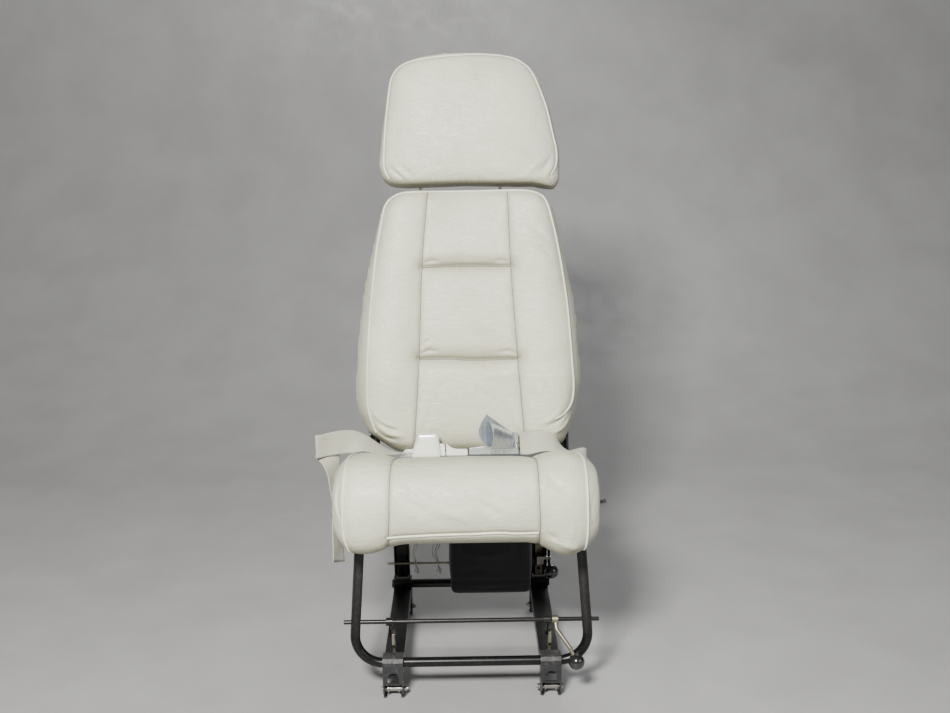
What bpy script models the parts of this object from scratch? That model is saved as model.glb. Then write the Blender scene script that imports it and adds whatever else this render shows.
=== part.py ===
"""Aircraft crew seat: a roller base, a tilting tube frame, a reclining back and a sliding headrest.

Metres, +Z up. The seat faces -Y and its right side in a front view is +X. Shapes are drawn with the
front cross tube over Y = 0 and the feet on Z = 0; the last step moves the whole seat so that the
middle of its footprint stands on the world origin.
"""

import math

import bmesh
import bpy
from mathutils import Matrix, Vector

# Driving sizes
GAP = 0.0003  # between pieces that touch
TUBE_R = 0.009525  # three-quarter inch frame tube
ROD_R = 0.0042  # release cross rod
ROLLER_X = 0.1524  # half of the roller spacing
TUBE_Z = 0.070  # height of the front and rear cross tubes
BASE_LENGTH = 0.385  # front cross tube to rear cross tube
RAIL_WIDTH = 0.038
RAIL_HEIGHT = 0.022
RAIL_WALL = 0.003
RAIL_TOP = 0.067

HOUSING_WIDTH = 0.040
HOUSING_DEPTH = 0.041
HOUSING_TOP = 0.084
HOUSING_WALL = 0.0032
AXLE_Z = 0.0155
AXLE_R = 0.003
ROLLER_RIM_R = 0.008
ROLLER_HUB_R = 0.0052

HOOP_HALF = 0.2285  # half width of the front hoop where its sides meet its base
HOOP_BEND = 0.054
LEG_SPLAY = 0.071  # sideways run of a leg for each metre it rises
LEG_LEAN = 0.08  # rearward run of a leg for each metre it rises
ROD_Z = 0.152
ROD_HALF = 0.246

PAN_Z = 0.342  # plane of the seat pan's tubes, above the front cross tube
PAN_SLOPE = math.radians(8)
PAN_HALF = 0.2095  # half distance between the side tubes
PAN_BACK = 0.405
PAN_SHEET = 0.0015
PAN_REACH = 0.212  # half width of the sheet

UPRIGHT_LEAN = math.radians(9)
UPRIGHT_HALF = 0.017
UPRIGHT_LENGTH = 0.100
UPRIGHT_FRONT = -0.0135
UPRIGHT_WEB = 0.0050
LEG_WIDTH = 0.024
LEG_THICK = 0.005
STRIP_THICK = 0.002
PIN_HEIGHT = 0.0511  # up the upright to the height pin
HOLE_PITCH = 0.013
HOLE_STEPS = 2
PIN_R = 0.003

HINGE_Y = 0.385
HINGE_Z = 0.327
RECLINE = math.radians(12)
BRACKET_THICK = 0.004

CUSHION_HALF = 0.246
CUSHION_MIDDLE_X = -0.006
BACK_SHELL_DEPTH = 0.040
SHELL_WALL = 0.0025
POST_R = 0.00325
POST_HALF = 0.088
POST_MIDDLE_X = -0.010
POST_Y = 0.0160
HEADREST_LOW = 0.633
HEADREST_HIGH = 0.930

KNOB_R = 0.015875
WEBBING_HALF = 0.0254
WEBBING_THICK = 0.0018

ROUND = 16  # sides of a round cutter or pin
IDENTITY = Matrix.Identity(4)


def clear_scene():
    for item in list(bpy.data.objects):
        bpy.data.objects.remove(item)


clear_scene()
parts = bpy.data.collections.new("aircraft_crew_seat")
tools = bpy.data.collections.new("construction")
for group in (parts, tools):
    bpy.context.scene.collection.children.link(group)
tools.hide_render = True


def look(name, colour, roughness, metallic=0.0):
    made = bpy.data.materials.new(name)
    made.use_nodes = True
    shader = made.node_tree.nodes["Principled BSDF"]
    shader.inputs["Base Color"].default_value = (*colour, 1)
    shader.inputs["Roughness"].default_value = roughness
    shader.inputs["Metallic"].default_value = metallic
    return made


BLACK_PAINT = look("black_paint", (0.012, 0.012, 0.014), 0.35, 0.2)
GREY_PAINT = look("worn_grey_paint", (0.10, 0.10, 0.11), 0.45, 0.5)
STEEL = look("bright_steel", (0.62, 0.61, 0.58), 0.3, 1.0)
PLATED = look("olive_plating", (0.36, 0.34, 0.26), 0.38, 0.9)
SATIN = look("satin_steel", (0.42, 0.46, 0.54), 0.3, 1.0)
BRIGHT = look("bright_cover", (0.85, 0.86, 0.86), 0.25, 0.8)
ALUMINIUM = look("aluminium", (0.55, 0.56, 0.57), 0.4, 1.0)
KNOB = look("black_ball", (0.005, 0.005, 0.006), 0.12)
LEATHER = look("cream_leather", (0.60, 0.58, 0.51), 0.5)
WEBBING = look("cream_webbing", (0.55, 0.53, 0.45), 0.8)
COTTON = look("cotton", (0.60, 0.56, 0.47), 0.9)
POUCH = look("black_fabric", (0.010, 0.010, 0.012), 0.85)
BOARD = look("grey_back_panel", (0.42, 0.41, 0.37), 0.6)


# Bodies: an empty for each, standing on its joint
def body(name, location=(0, 0, 0), parent=None):
    empty = bpy.data.objects.new(name, None)
    empty.empty_display_size = 0.03
    bpy.context.scene.collection.objects.link(empty)
    empty["design"] = [value for row in Matrix.Translation(location) for value in row]
    if parent:
        empty.parent = parent
        empty.matrix_parent_inverse = design_matrix(parent).inverted()
    empty.matrix_basis = Matrix.Translation(location)
    return empty


def design_matrix(empty):
    flat = list(empty["design"])
    return Matrix([flat[row * 4 : row * 4 + 4] for row in range(4)])


def adopt(item, owner, frame):
    item.parent = owner
    item.matrix_parent_inverse = design_matrix(owner).inverted()
    item.matrix_basis = frame


def add(name, data, surface, owner, frame=IDENTITY, smooth=False):
    item = bpy.data.objects.new(name, data)
    parts.objects.link(item)
    if not data.materials:
        data.materials.append(surface)
    adopt(item, owner, frame)
    if smooth and item.type == "MESH":
        data.polygons.foreach_set("use_smooth", [True] * len(data.polygons))
    return item


def shape(item, data, operation):
    helper = bpy.data.objects.new(item.name + "_" + operation.lower(), data)
    tools.objects.link(helper)
    helper.display_type = "WIRE"
    helper.hide_render = True
    adopt(helper, item.parent, item.matrix_basis.copy())
    step = item.modifiers.new(operation.lower(), "BOOLEAN")
    step.operation = operation
    step.solver = "EXACT"
    step.object = helper


def cut(item, *shapes):
    for data in shapes:
        shape(item, data, "DIFFERENCE")


def join(item, *shapes):
    for data in shapes:
        shape(item, data, "UNION")


def finished(mesh_builder, name="shape"):
    bmesh.ops.recalc_face_normals(mesh_builder, faces=mesh_builder.faces)
    data = bpy.data.meshes.new(name)
    mesh_builder.to_mesh(data)
    mesh_builder.free()
    return data


# Shapes
def block(low, high):
    """A box between two opposite corners."""
    low, high = Vector(low), Vector(high)
    builder = bmesh.new()
    bmesh.ops.create_cube(builder, size=1)
    bmesh.ops.scale(builder, vec=high - low, verts=builder.verts)
    bmesh.ops.translate(builder, vec=(low + high) / 2, verts=builder.verts)
    return finished(builder)


def rod(start, end, radius, sides=ROUND, far_radius=None):
    """A straight round bar, or a cone, from one point to another."""
    start, end = Vector(start), Vector(end)
    along = end - start
    builder = bmesh.new()
    bmesh.ops.create_cone(
        builder,
        cap_ends=True,
        segments=sides,
        radius1=radius,
        radius2=radius if far_radius is None else far_radius,
        depth=along.length,
    )
    turn = along.to_track_quat("Z", "Y").to_matrix().to_4x4()
    place = Matrix.Translation((start + end) / 2) @ turn
    bmesh.ops.transform(builder, matrix=place, verts=builder.verts)
    return finished(builder)


def prism(outline, low, high, axis="X"):
    """A flat outline pushed along an axis. Its points are (Y, Z), (X, Z) or (X, Y) for X, Y or Z."""
    spots = {
        "X": lambda a, b: Vector((low, a, b)),
        "Y": lambda a, b: Vector((a, low, b)),
        "Z": lambda a, b: Vector((a, b, low)),
    }[axis]
    push = {"X": (high - low, 0, 0), "Y": (0, high - low, 0), "Z": (0, 0, high - low)}[axis]
    builder = bmesh.new()
    face = builder.faces.new([builder.verts.new(spots(a, b)) for a, b in outline])
    grown = bmesh.ops.extrude_face_region(builder, geom=[face])
    moved = [item for item in grown["geom"] if isinstance(item, bmesh.types.BMVert)]
    bmesh.ops.translate(builder, vec=push, verts=moved)
    return finished(builder)


def loft(rings):
    """A skin over rings of equal count, closed at both ends."""
    builder = bmesh.new()
    rows = [[builder.verts.new(point) for point in ring] for ring in rings]
    count = len(rows[0])
    for near, far in zip(rows, rows[1:]):
        for i in range(count):
            j = (i + 1) % count
            builder.faces.new((near[i], near[j], far[j], far[i]))
    builder.faces.new(rows[0])
    builder.faces.new(rows[-1])
    return finished(builder)


def arc(centre, radius, start, end, steps):
    """Points on an arc, angles in degrees."""
    angles = [math.radians(start + (end - start) * i / steps) for i in range(steps + 1)]
    return [(centre[0] + radius * math.cos(a), centre[1] + radius * math.sin(a)) for a in angles]


def capsule(a, b, radius, steps=8):
    """The outline round two points of a plane at one distance."""
    a, b = Vector(a), Vector(b)
    heading = math.degrees(math.atan2(b.y - a.y, b.x - a.x))
    return arc(b, radius, heading - 90, heading + 90, steps) + arc(
        a, radius, heading + 90, heading + 270, steps
    )


def bent(points, radius, steps=8):
    """The points of a path with each inner corner rounded to a bend radius."""
    points = [Vector(point) for point in points]
    path = [points[0]]
    for before, corner, after in zip(points, points[1:], points[2:]):
        way_in, way_out = (corner - before).normalized(), (after - corner).normalized()
        half_turn = way_in.angle(way_out) / 2
        setback = radius * math.tan(half_turn)
        inward = (way_out - way_in).normalized()
        centre = corner + inward * (radius / math.cos(half_turn))
        start = corner - way_in * setback - centre
        axis = way_in.cross(way_out).normalized()
        for i in range(steps + 1):
            turn = Matrix.Rotation(2 * half_turn * i / steps, 3, axis)
            path.append(centre + turn @ start)
    path.append(points[-1])
    return path


def tube(points, radius, resolution=6):
    """A round tube along a path, as a bevelled curve with filled ends."""
    data = bpy.data.curves.new("path", "CURVE")
    data.dimensions = "3D"
    data.bevel_depth = radius
    data.bevel_resolution = resolution
    data.use_fill_caps = True
    line = data.splines.new("POLY")
    line.points.add(len(points) - 1)
    for spot, point in zip(line.points, points):
        spot.co = (*point, 1)
    line.use_smooth = True
    return data


def solid_tube(points, radius, resolution=6):
    """The same tube as a mesh, for pieces that are cut or joined."""
    drawn = bpy.data.objects.new("path", tube(points, radius, resolution))
    bpy.context.scene.collection.objects.link(drawn)
    bpy.context.view_layer.update()
    graph = bpy.context.evaluated_depsgraph_get()
    data = bpy.data.meshes.new_from_object(drawn.evaluated_get(graph))
    bpy.data.objects.remove(drawn)
    builder = bmesh.new()
    builder.from_mesh(data)
    bmesh.ops.remove_doubles(builder, verts=builder.verts, dist=1e-6)
    return finished(builder)


def turned(name, profile, surface, owner, frame, steps=ROUND):
    """A closed profile of (radius, height) points turned about the frame's Z axis."""
    data = bpy.data.meshes.new(name)
    count = len(profile)
    data.from_pydata(
        [(radius, 0, height) for radius, height in profile],
        [(i, (i + 1) % count) for i in range(count)],
        [],
    )
    item = add(name, data, surface, owner, frame)
    screw = item.modifiers.new("turn", "SCREW")
    screw.axis = "Z"
    screw.steps = steps
    screw.render_steps = steps
    screw.use_merge_vertices = True
    screw.merge_threshold = 0.0001
    return item


def ribbon(stations, half_width, thickness):
    """Webbing through stations of (point, direction across the width)."""
    points = [Vector(point) for point, _ in stations]
    rings = []
    for i, (_, across) in enumerate(stations):
        along = (points[min(i + 1, len(points) - 1)] - points[max(i - 1, 0)]).normalized()
        across = Vector(across).normalized()
        across = (across - along * across.dot(along)).normalized()
        face = along.cross(across).normalized() * (thickness / 2)
        side = across * half_width
        centre = points[i]
        rings.append(
            [centre - side - face, centre + side - face, centre + side + face, centre - side + face]
        )
    return loft(rings)


def smooth_route(points, per_span):
    """A curve through hand-chosen points."""
    points = [Vector(point) for point in points]
    padded = [points[0] * 2 - points[1], *points, points[-1] * 2 - points[-2]]
    route = []
    for a, b, c, d in zip(padded, padded[1:], padded[2:], padded[3:]):
        for i in range(per_span):
            t = i / per_span
            route.append(
                0.5 * (2 * b + (c - a) * t + (2 * a - 5 * b + 4 * c - d) * t**2
                       + (3 * b - a - 3 * c + d) * t**3)
            )
    route.append(points[-1])
    return route


# Bodies and their joints
def leg_at(height):
    """Half width and Y of a hoop leg at a height."""
    rise = height - TUBE_Z
    return HOOP_HALF - LEG_SPLAY * rise, LEG_LEAN * rise


ROD_Y = leg_at(ROD_Z)[1]
CRANK_PIN = Vector((0, 0.030, 0.113))
PAWL_PIVOT = Vector((0, 0.040, 0.0565))
UPRIGHT_BASE = Vector((0, BASE_LENGTH, 0.081))
LEVER_PIVOT = Vector((0.0215, 0.002, 0.092))  # in the upright's frame
RECLINE_PIVOT = Vector((0.236, 0.356, 0.296))
COVER_PIVOT = Vector((0.092, 0.3155, 0.4215))
COVER_OPEN = math.radians(32)


def upright_frame(side):
    place = Matrix.Translation((side * ROLLER_X, UPRIGHT_BASE.y, UPRIGHT_BASE.z))
    return place @ Matrix.Rotation(UPRIGHT_LEAN, 4, "X")


PAN_FRAME = Matrix.Translation((0, 0, PAN_Z)) @ Matrix.Rotation(-PAN_SLOPE, 4, "X")
BACK_FRAME = Matrix.Translation((0, HINGE_Y, HINGE_Z)) @ Matrix.Rotation(-RECLINE, 4, "X")
RIGHT_UPRIGHT = upright_frame(1)
SIDES = (("left", -1), ("right", 1))

seat_origin = body("seat_origin")
tilt_body = body("seat_frame", (0, 0, TUBE_Z), seat_origin)
release_body = body("release", (0, ROD_Y, ROD_Z), tilt_body)
back_body = body("back", (0, HINGE_Y, HINGE_Z), tilt_body)
headrest_body = body("headrest", BACK_FRAME @ Vector((POST_MIDDLE_X, POST_Y, 0.6)), back_body)
height_body = body("height_release", RIGHT_UPRIGHT @ LEVER_PIVOT, seat_origin)
recline_body = body("recline_release", RECLINE_PIVOT, tilt_body)
cover_body = body("buckle_lift", COVER_PIVOT, tilt_body)


# Base: housings, axles and rollers
def roller_housing(name, side, y, surface):
    frame = Matrix.Translation((side * ROLLER_X, y, 0))
    half, depth = HOUSING_WIDTH / 2, HOUSING_DEPTH / 2
    shoulder = HOUSING_TOP - 0.006
    right = [(0.010, 0), (0.010, 0.007), (depth, 0.016), (depth, shoulder), (0.0145, HOUSING_TOP)]
    outline = right + [(-a, b) for a, b in reversed(right)]
    item = add(name, prism(outline, -half, half), surface, seat_origin, frame)
    inner = half - HOUSING_WALL
    roof = TUBE_Z - TUBE_R - 0.0045
    lip_top, skirt = 0.0025, 0.0325
    window = [(0.011, skirt + 0.0035), (0.011, roof - 0.010)]
    window += arc((0, roof - 0.010), 0.011, 0, 180, 6)[1:-1]
    window += [(-0.011, roof - 0.010), (-0.011, skirt + 0.0035)]
    cut(
        item,
        block((-inner, -depth + HOUSING_WALL, lip_top), (inner, depth - HOUSING_WALL, roof)),
        block((-inner, -1.5 * depth, lip_top), (inner, 1.5 * depth, skirt)),
        block((-inner + 0.003, -depth, -0.01), (inner - 0.003, depth, lip_top + 0.001)),
        prism(window, -1.5 * depth, 1.5 * depth, "Y"),
        rod((-2 * half, 0, TUBE_Z), (2 * half, 0, TUBE_Z), TUBE_R + 2 * GAP),
        rod((-2 * half, 0, AXLE_Z), (2 * half, 0, AXLE_Z), AXLE_R + GAP),
    )


def axle_bolt(name, side, y):
    """Hexagon head outside, nut inside."""
    frame = Matrix.Translation((side * ROLLER_X, y, AXLE_Z))
    face = HOUSING_WIDTH / 2 + GAP
    head = (face, face + 0.0038)
    nut = (face, face + 0.0050)
    item = add(
        name,
        rod((-side * (nut[1] + 0.0025), 0, 0), (side * head[1], 0, 0), AXLE_R, 16),
        STEEL,
        seat_origin,
        frame,
    )
    join(
        item,
        rod((side * head[0], 0, 0), (side * head[1], 0, 0), 0.0058, 6),
        rod((-side * nut[0], 0, 0), (-side * nut[1], 0, 0), 0.0058, 6),
    )


def spool_roller(name, side, y):
    centre = (side * ROLLER_X, y, AXLE_Z)
    owner = body(name + "_spin", centre, seat_origin)
    half = HOUSING_WIDTH / 2 - HOUSING_WALL - GAP
    rim, rim_width = 0.0118, 0.0028
    bore, hub, outer = AXLE_R + GAP, ROLLER_HUB_R, ROLLER_RIM_R
    profile = [(bore, half), (hub, half), (hub, rim), (outer, rim), (outer, rim - rim_width)]
    profile += [(hub, rim - rim_width)]
    profile += [(r, -z) for r, z in reversed(profile)]
    frame = Matrix.Translation(centre) @ Matrix.Rotation(math.pi / 2, 4, "Y")
    turned(name, profile, STEEL, owner, frame)


for side_name, side in SIDES:
    for end_name, y, surface in (("front", 0, GREY_PAINT), ("rear", BASE_LENGTH, BLACK_PAINT)):
        roller_housing(f"{end_name}_roller_housing_{side_name}", side, y, surface)
        axle_bolt(f"{end_name}_axle_bolt_{side_name}", side, y)
        spool_roller(f"{end_name}_roller_{side_name}", side, y)


# Base rails: inverted channels with a slot for the lock pawl and a pin to carry it
PAWL_THICK = 0.005
RAIL_START = HOUSING_DEPTH / 2 + GAP

for side_name, side in SIDES:
    frame = Matrix.Translation((side * ROLLER_X, 0, 0))
    half, low = RAIL_WIDTH / 2, RAIL_TOP - RAIL_HEIGHT
    end = BASE_LENGTH - RAIL_START
    rail = add(
        f"base_rail_{side_name}",
        block((-half, RAIL_START, low), (half, end, RAIL_TOP)),
        BLACK_PAINT,
        seat_origin,
        frame,
    )
    inside = half - RAIL_WALL
    slot_half = PAWL_THICK / 2 + 0.0015
    cut(
        rail,
        block((-inside, 0, -low), (inside, BASE_LENGTH, RAIL_TOP - RAIL_WALL)),
        block(
            (-slot_half, PAWL_PIVOT.y - 0.015, low),
            (slot_half, PAWL_PIVOT.y + 0.020, RAIL_TOP + RAIL_WALL),
        ),
    )
    pin = Vector((half - RAIL_WALL / 2, 0, 0))
    join(rail, rod(PAWL_PIVOT - pin, PAWL_PIVOT + pin, AXLE_R, 16))

cross_half = ROLLER_X + HOUSING_WIDTH / 2 + 0.004
rear_line = [(-cross_half, BASE_LENGTH, TUBE_Z), (cross_half, BASE_LENGTH, TUBE_Z)]
add("rear_cross_tube", tube([Vector(p) for p in rear_line], TUBE_R), BLACK_PAINT, seat_origin)


# Track lock pawls: a fork above the rail, a hub on the rail's pin and a nose that drops in the track
def lock_pawl(name, side):
    pivot = PAWL_PIVOT + Vector((side * ROLLER_X, 0, 0))
    owner = body(name + "_turn", pivot, seat_origin)
    y, z = PAWL_PIVOT.y, PAWL_PIVOT.z
    front_wall, rear_wall = CRANK_PIN.y - 0.009, CRANK_PIN.y + 0.0031
    outline = [
        (y - 0.006, z + 0.004), (y - 0.006, z + 0.030), (front_wall - 0.0055, z + 0.042),
        (front_wall - 0.0055, z + 0.0645), (front_wall, z + 0.0645), (front_wall, z + 0.049),
        (rear_wall, z + 0.049), (rear_wall, z + 0.0645), (rear_wall + 0.0055, z + 0.0645),
        (rear_wall + 0.0055, z + 0.042), (y + 0.006, z + 0.033), (y + 0.006, z + 0.004),
        (y + 0.009, z - 0.002), (y + 0.046, z - 0.0125), (y + 0.049, z - 0.018),
        (y + 0.045, z - 0.0545), (y + 0.038, z - 0.0545), (y + 0.036, z - 0.024),
    ]
    outline += arc((y, z), 0.0085, -75, -185, 8)
    half = PAWL_THICK / 2
    item = add(name, prism(outline, -half, half), PLATED, owner,
               Matrix.Translation((side * ROLLER_X, 0, 0)))
    pin = Vector((2 * PAWL_THICK, 0, 0))
    cut(item, rod(PAWL_PIVOT - pin, PAWL_PIVOT + pin, AXLE_R + GAP))


for side_name, side in SIDES:
    lock_pawl(f"lock_pawl_{side_name}", side)


# Rear uprights: open channels that guide the seat's rear legs
GUIDE_BOLT = 0.0415  # up the left upright


def rear_upright(side_name, side):
    item = add(
        f"rear_upright_{side_name}",
        block((-UPRIGHT_HALF, UPRIGHT_FRONT, 0.006), (UPRIGHT_HALF, UPRIGHT_WEB + 0.0025, UPRIGHT_LENGTH)),
        BLACK_PAINT,
        seat_origin,
        upright_frame(side),
    )
    inside = UPRIGHT_HALF - 0.0025
    cut(item, block((-inside, 2 * UPRIGHT_FRONT, 0), (inside, UPRIGHT_WEB, 2 * UPRIGHT_LENGTH)))
    return item


left_upright = rear_upright("left", -1)
leg_front = -LEG_THICK / 2
join(
    left_upright,
    rod((0, UPRIGHT_WEB + 0.001, GUIDE_BOLT), (0, leg_front - 0.0010, GUIDE_BOLT), PIN_R),
    rod((0, leg_front - 0.0006, GUIDE_BOLT), (0, leg_front - 0.0046, GUIDE_BOLT), 0.0062, 6),
)
right_upright = rear_upright("right", 1)
PIN_BLOCK = UPRIGHT_FRONT - 0.008  # front face of the height pin's guide block
join(
    right_upright,
    block(
        (-UPRIGHT_HALF, PIN_BLOCK, PIN_HEIGHT - 0.008),
        (UPRIGHT_HALF, UPRIGHT_FRONT + 0.001, PIN_HEIGHT + 0.008),
    ),
    rod((UPRIGHT_HALF - 0.001, *LEVER_PIVOT.yz), (LEVER_PIVOT.x + 0.006, *LEVER_PIVOT.yz), PIN_R),
    rod((LEVER_PIVOT.x + 0.0050, *LEVER_PIVOT.yz), (LEVER_PIVOT.x + 0.0075, *LEVER_PIVOT.yz), 0.0058, 6),
)
cut(
    right_upright,
    rod((0, 2 * PIN_BLOCK, PIN_HEIGHT), (0, UPRIGHT_FRONT / 2, PIN_HEIGHT), PIN_R + GAP),
)

# Height release: the pin's arm is pushed forward by the lever as the knob is pulled
strip_face = leg_front - GAP - STRIP_THICK
nose = strip_face - GAP
arm_back = PIN_BLOCK - 0.0007
arm_front = arm_back - 0.004
pin_owner = body("height_pin_slide", RIGHT_UPRIGHT @ Vector((0, nose, PIN_HEIGHT)), seat_origin)
height_pin = add(
    "height_pin",
    rod((0, nose, PIN_HEIGHT), (0, arm_front, PIN_HEIGHT), PIN_R),
    STEEL,
    pin_owner,
    RIGHT_UPRIGHT,
)
join(
    height_pin,
    block((-0.005, arm_front, PIN_HEIGHT - 0.004), (0.010, arm_back, PIN_HEIGHT + 0.015)),
    block((0.009, arm_front, PIN_HEIGHT + 0.009), (0.0255, arm_back, PIN_HEIGHT + 0.015)),
)
lever_y = arm_back + GAP + PIN_R
ball_local = Vector((0.0256, -0.0442, 0.0404))
lever_path = [
    LEVER_PIVOT,
    Vector((LEVER_PIVOT.x, lever_y, PIN_HEIGHT + 0.019)),
    Vector((LEVER_PIVOT.x, lever_y, PIN_HEIGHT - 0.002)),
    ball_local,
]
lever_path[-1] = ball_local + (lever_path[-2] - ball_local).normalized() * (KNOB_R - 0.006)
height_lever = add(
    "height_lever", solid_tube(bent(lever_path, 0.005, 4), PIN_R, 3), BLACK_PAINT, height_body, RIGHT_UPRIGHT,
    smooth=True,
)
boss = (UPRIGHT_HALF + GAP, LEVER_PIVOT.x + 0.0047)
join(height_lever, rod((boss[0], *LEVER_PIVOT.yz), (boss[1], *LEVER_PIVOT.yz), 0.0070))
cut(height_lever, rod((0, *LEVER_PIVOT.yz), (2 * boss[1], *LEVER_PIVOT.yz), PIN_R + GAP))


def ball_knob(name, centre, stem, stem_radius, owner, frame):
    """A ball with a blind hole towards its stem."""
    centre, stem = Vector(centre), Vector(stem)
    builder = bmesh.new()
    bmesh.ops.create_uvsphere(builder, u_segments=16, v_segments=10, radius=KNOB_R)
    bmesh.ops.translate(builder, vec=centre, verts=builder.verts)
    item = add(name, finished(builder), KNOB, owner, frame, smooth=True)
    outward = (stem - centre).normalized()
    floor = centre + outward * ((stem - centre).length - GAP)
    cut(item, rod(floor, centre + outward * 2 * KNOB_R, stem_radius + GAP, 16))


ball_knob("height_knob", ball_local, lever_path[-1], PIN_R, height_body, RIGHT_UPRIGHT)


# Seat frame: hoop, pan tubes and sheet
def hoop_path():
    top = PAN_Z - 0.010
    half, y = leg_at(top)
    bottom = HOOP_HALF
    return [(-half, y, top), (-bottom, 0, TUBE_Z), (bottom, 0, TUBE_Z), (half, y, top)]


front_hoop = add("front_hoop", solid_tube(bent(hoop_path(), HOOP_BEND, 7), TUBE_R), BLACK_PAINT, tilt_body,
                 smooth=True)
cut(front_hoop, rod((-0.3, ROD_Y, ROD_Z), (0.3, ROD_Y, ROD_Z), ROD_R + GAP))

for side_name, side in SIDES:
    x = side * PAN_HALF
    line = [(x, -0.020, 0), (x, PAN_BACK, 0)]
    add(f"pan_side_tube_{side_name}", tube([Vector(p) for p in line], TUBE_R), BLACK_PAINT, tilt_body, PAN_FRAME)
    # The hoop's leg is coped to the side tube that it carries
    ends = [PAN_FRAME @ Vector((x, y, 0)) for y in (-0.1, 0.2)]
    cut(front_hoop, rod(*ends, TUBE_R + GAP))

cross_end = PAN_HALF - TUBE_R - GAP
REAR_TUBE_Y = 0.3575
for name, y in (("pan_front_tube", 0.055), ("pan_rear_tube", REAR_TUBE_Y)):
    line = [(-cross_end, y, 0), (cross_end, y, 0)]
    add(name, tube([Vector(p) for p in line], TUBE_R), BLACK_PAINT, tilt_body, PAN_FRAME)

sheet_low = TUBE_R + GAP
sheet_line = [(-0.0315, -0.010), (-0.0315, sheet_low), (0.372, sheet_low), (0.380, sheet_low + 0.012)]
sheet_line += [(0.3785, sheet_low + 0.0125), (0.3715, sheet_low + PAN_SHEET), (-0.033, sheet_low + PAN_SHEET)]
sheet_line += [(-0.033, -0.010)]
seat_pan = add("seat_pan", prism(sheet_line, -PAN_REACH, PAN_REACH), ALUMINIUM, tilt_body, PAN_FRAME)
for x in (-0.11, 0.11):
    for y in (0.125, 0.255):
        cut(seat_pan, rod((x, y, 0), (x, y, 0.05), 0.040, 24))


# Rear legs: flat bars that run in the uprights
def rear_leg(side_name, side):
    half = LEG_WIDTH / 2
    item = add(
        f"rear_leg_{side_name}",
        block((-half, leg_front, 0.0065), (half, -leg_front, 0.230)),
        BLACK_PAINT,
        tilt_body,
        upright_frame(side),
    )
    ends = [upright_frame(side).inverted() @ PAN_FRAME @ Vector((x, REAR_TUBE_Y, 0)) for x in (-0.4, 0.4)]
    cut(item, rod(*ends, TUBE_R + GAP))
    high = upright_frame(side).inverted() @ PAN_FRAME @ Vector((side * ROLLER_X, REAR_TUBE_Y, 0))
    cut(item, block((-0.05, -0.05, high.z - 0.002), (0.05, 0.05, high.z + 0.08)))
    return item


travel = HOLE_PITCH * HOLE_STEPS
left_leg = rear_leg("left", -1)
slot_radius = PIN_R + 0.0005
slot = capsule((0, GUIDE_BOLT), (0, GUIDE_BOLT - travel - 0.0015), slot_radius)
cut(left_leg, prism(slot, -0.02, 0.02, "Y"))
right_leg = rear_leg("right", 1)
strip = add(
    "height_strip",
    block((-0.008, strip_face, 0.010), (0.008, leg_front - GAP, 0.140)),
    PLATED,
    tilt_body,
    RIGHT_UPRIGHT,
)
for step in range(HOLE_STEPS + 1):
    up = PIN_HEIGHT - step * HOLE_PITCH
    for piece in (right_leg, strip):
        cut(piece, rod((0, -0.02, up), (0, 0.02, up), PIN_R + 2 * GAP))

# Release rod, cranks, lever and knob
release_rod = add(
    "release_rod", rod((-ROD_HALF, ROD_Y, ROD_Z), (ROD_HALF, ROD_Y, ROD_Z), ROD_R), BLACK_PAINT, release_body
)
rod_line = Vector((0, ROD_Y, ROD_Z))


def release_crank(side_name, side):
    """A strap that hangs from the rod and ends in a cross pin in the pawl's fork."""
    strap = (-0.0070, -0.0040)
    item = add(
        f"release_crank_{side_name}",
        prism(capsule(rod_line.yz, CRANK_PIN.yz, 0.0048), *strap),
        BLACK_PAINT,
        release_body,
        Matrix.Translation((side * ROLLER_X, 0, 0)),
    )
    join(
        item,
        rod(rod_line + Vector((-0.012, 0, 0)), rod_line + Vector((0.001, 0, 0)), 0.0078),
        rod(CRANK_PIN + Vector((-0.0055, 0, 0)), CRANK_PIN + Vector((0.0045, 0, 0)), 0.0025, 16),
        rod(CRANK_PIN + Vector((-0.0105, 0, 0)), CRANK_PIN + Vector((-0.0065, 0, 0)), 0.0045, 6),
    )
    cut(item, rod(rod_line + Vector((-0.03, 0, 0)), rod_line + Vector((0.03, 0, 0)), ROD_R + GAP))


for side_name, side in SIDES:
    release_crank(side_name, side)

LEVER_X = 0.1615
ball_centre = Vector((0.2003, -0.030, 0.0800))
arm_path = [
    Vector((LEVER_X, ROD_Y, ROD_Z)),
    Vector((LEVER_X + 0.002, -0.003, ROD_Z - 0.016)),
    ball_centre + Vector((-0.0120, 0.0085, 0.0250)),
    ball_centre,
]
arm_path[-1] = ball_centre + (arm_path[-2] - ball_centre).normalized() * (KNOB_R - 0.006)
release_lever = add(
    "release_lever", solid_tube(bent(arm_path, 0.006, 4), 0.0040, 3), PLATED, release_body, smooth=True
)
hub = Vector((0.0055, 0, 0))
hub_centre = Vector((LEVER_X, ROD_Y, ROD_Z))
join(release_lever, rod(hub_centre - hub, hub_centre + hub, 0.0080))
cut(release_lever, rod(hub_centre - 4 * hub, hub_centre + 4 * hub, ROD_R + GAP))
ball_knob("release_knob", ball_centre, arm_path[-1], 0.0040, release_body, IDENTITY)

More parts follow.
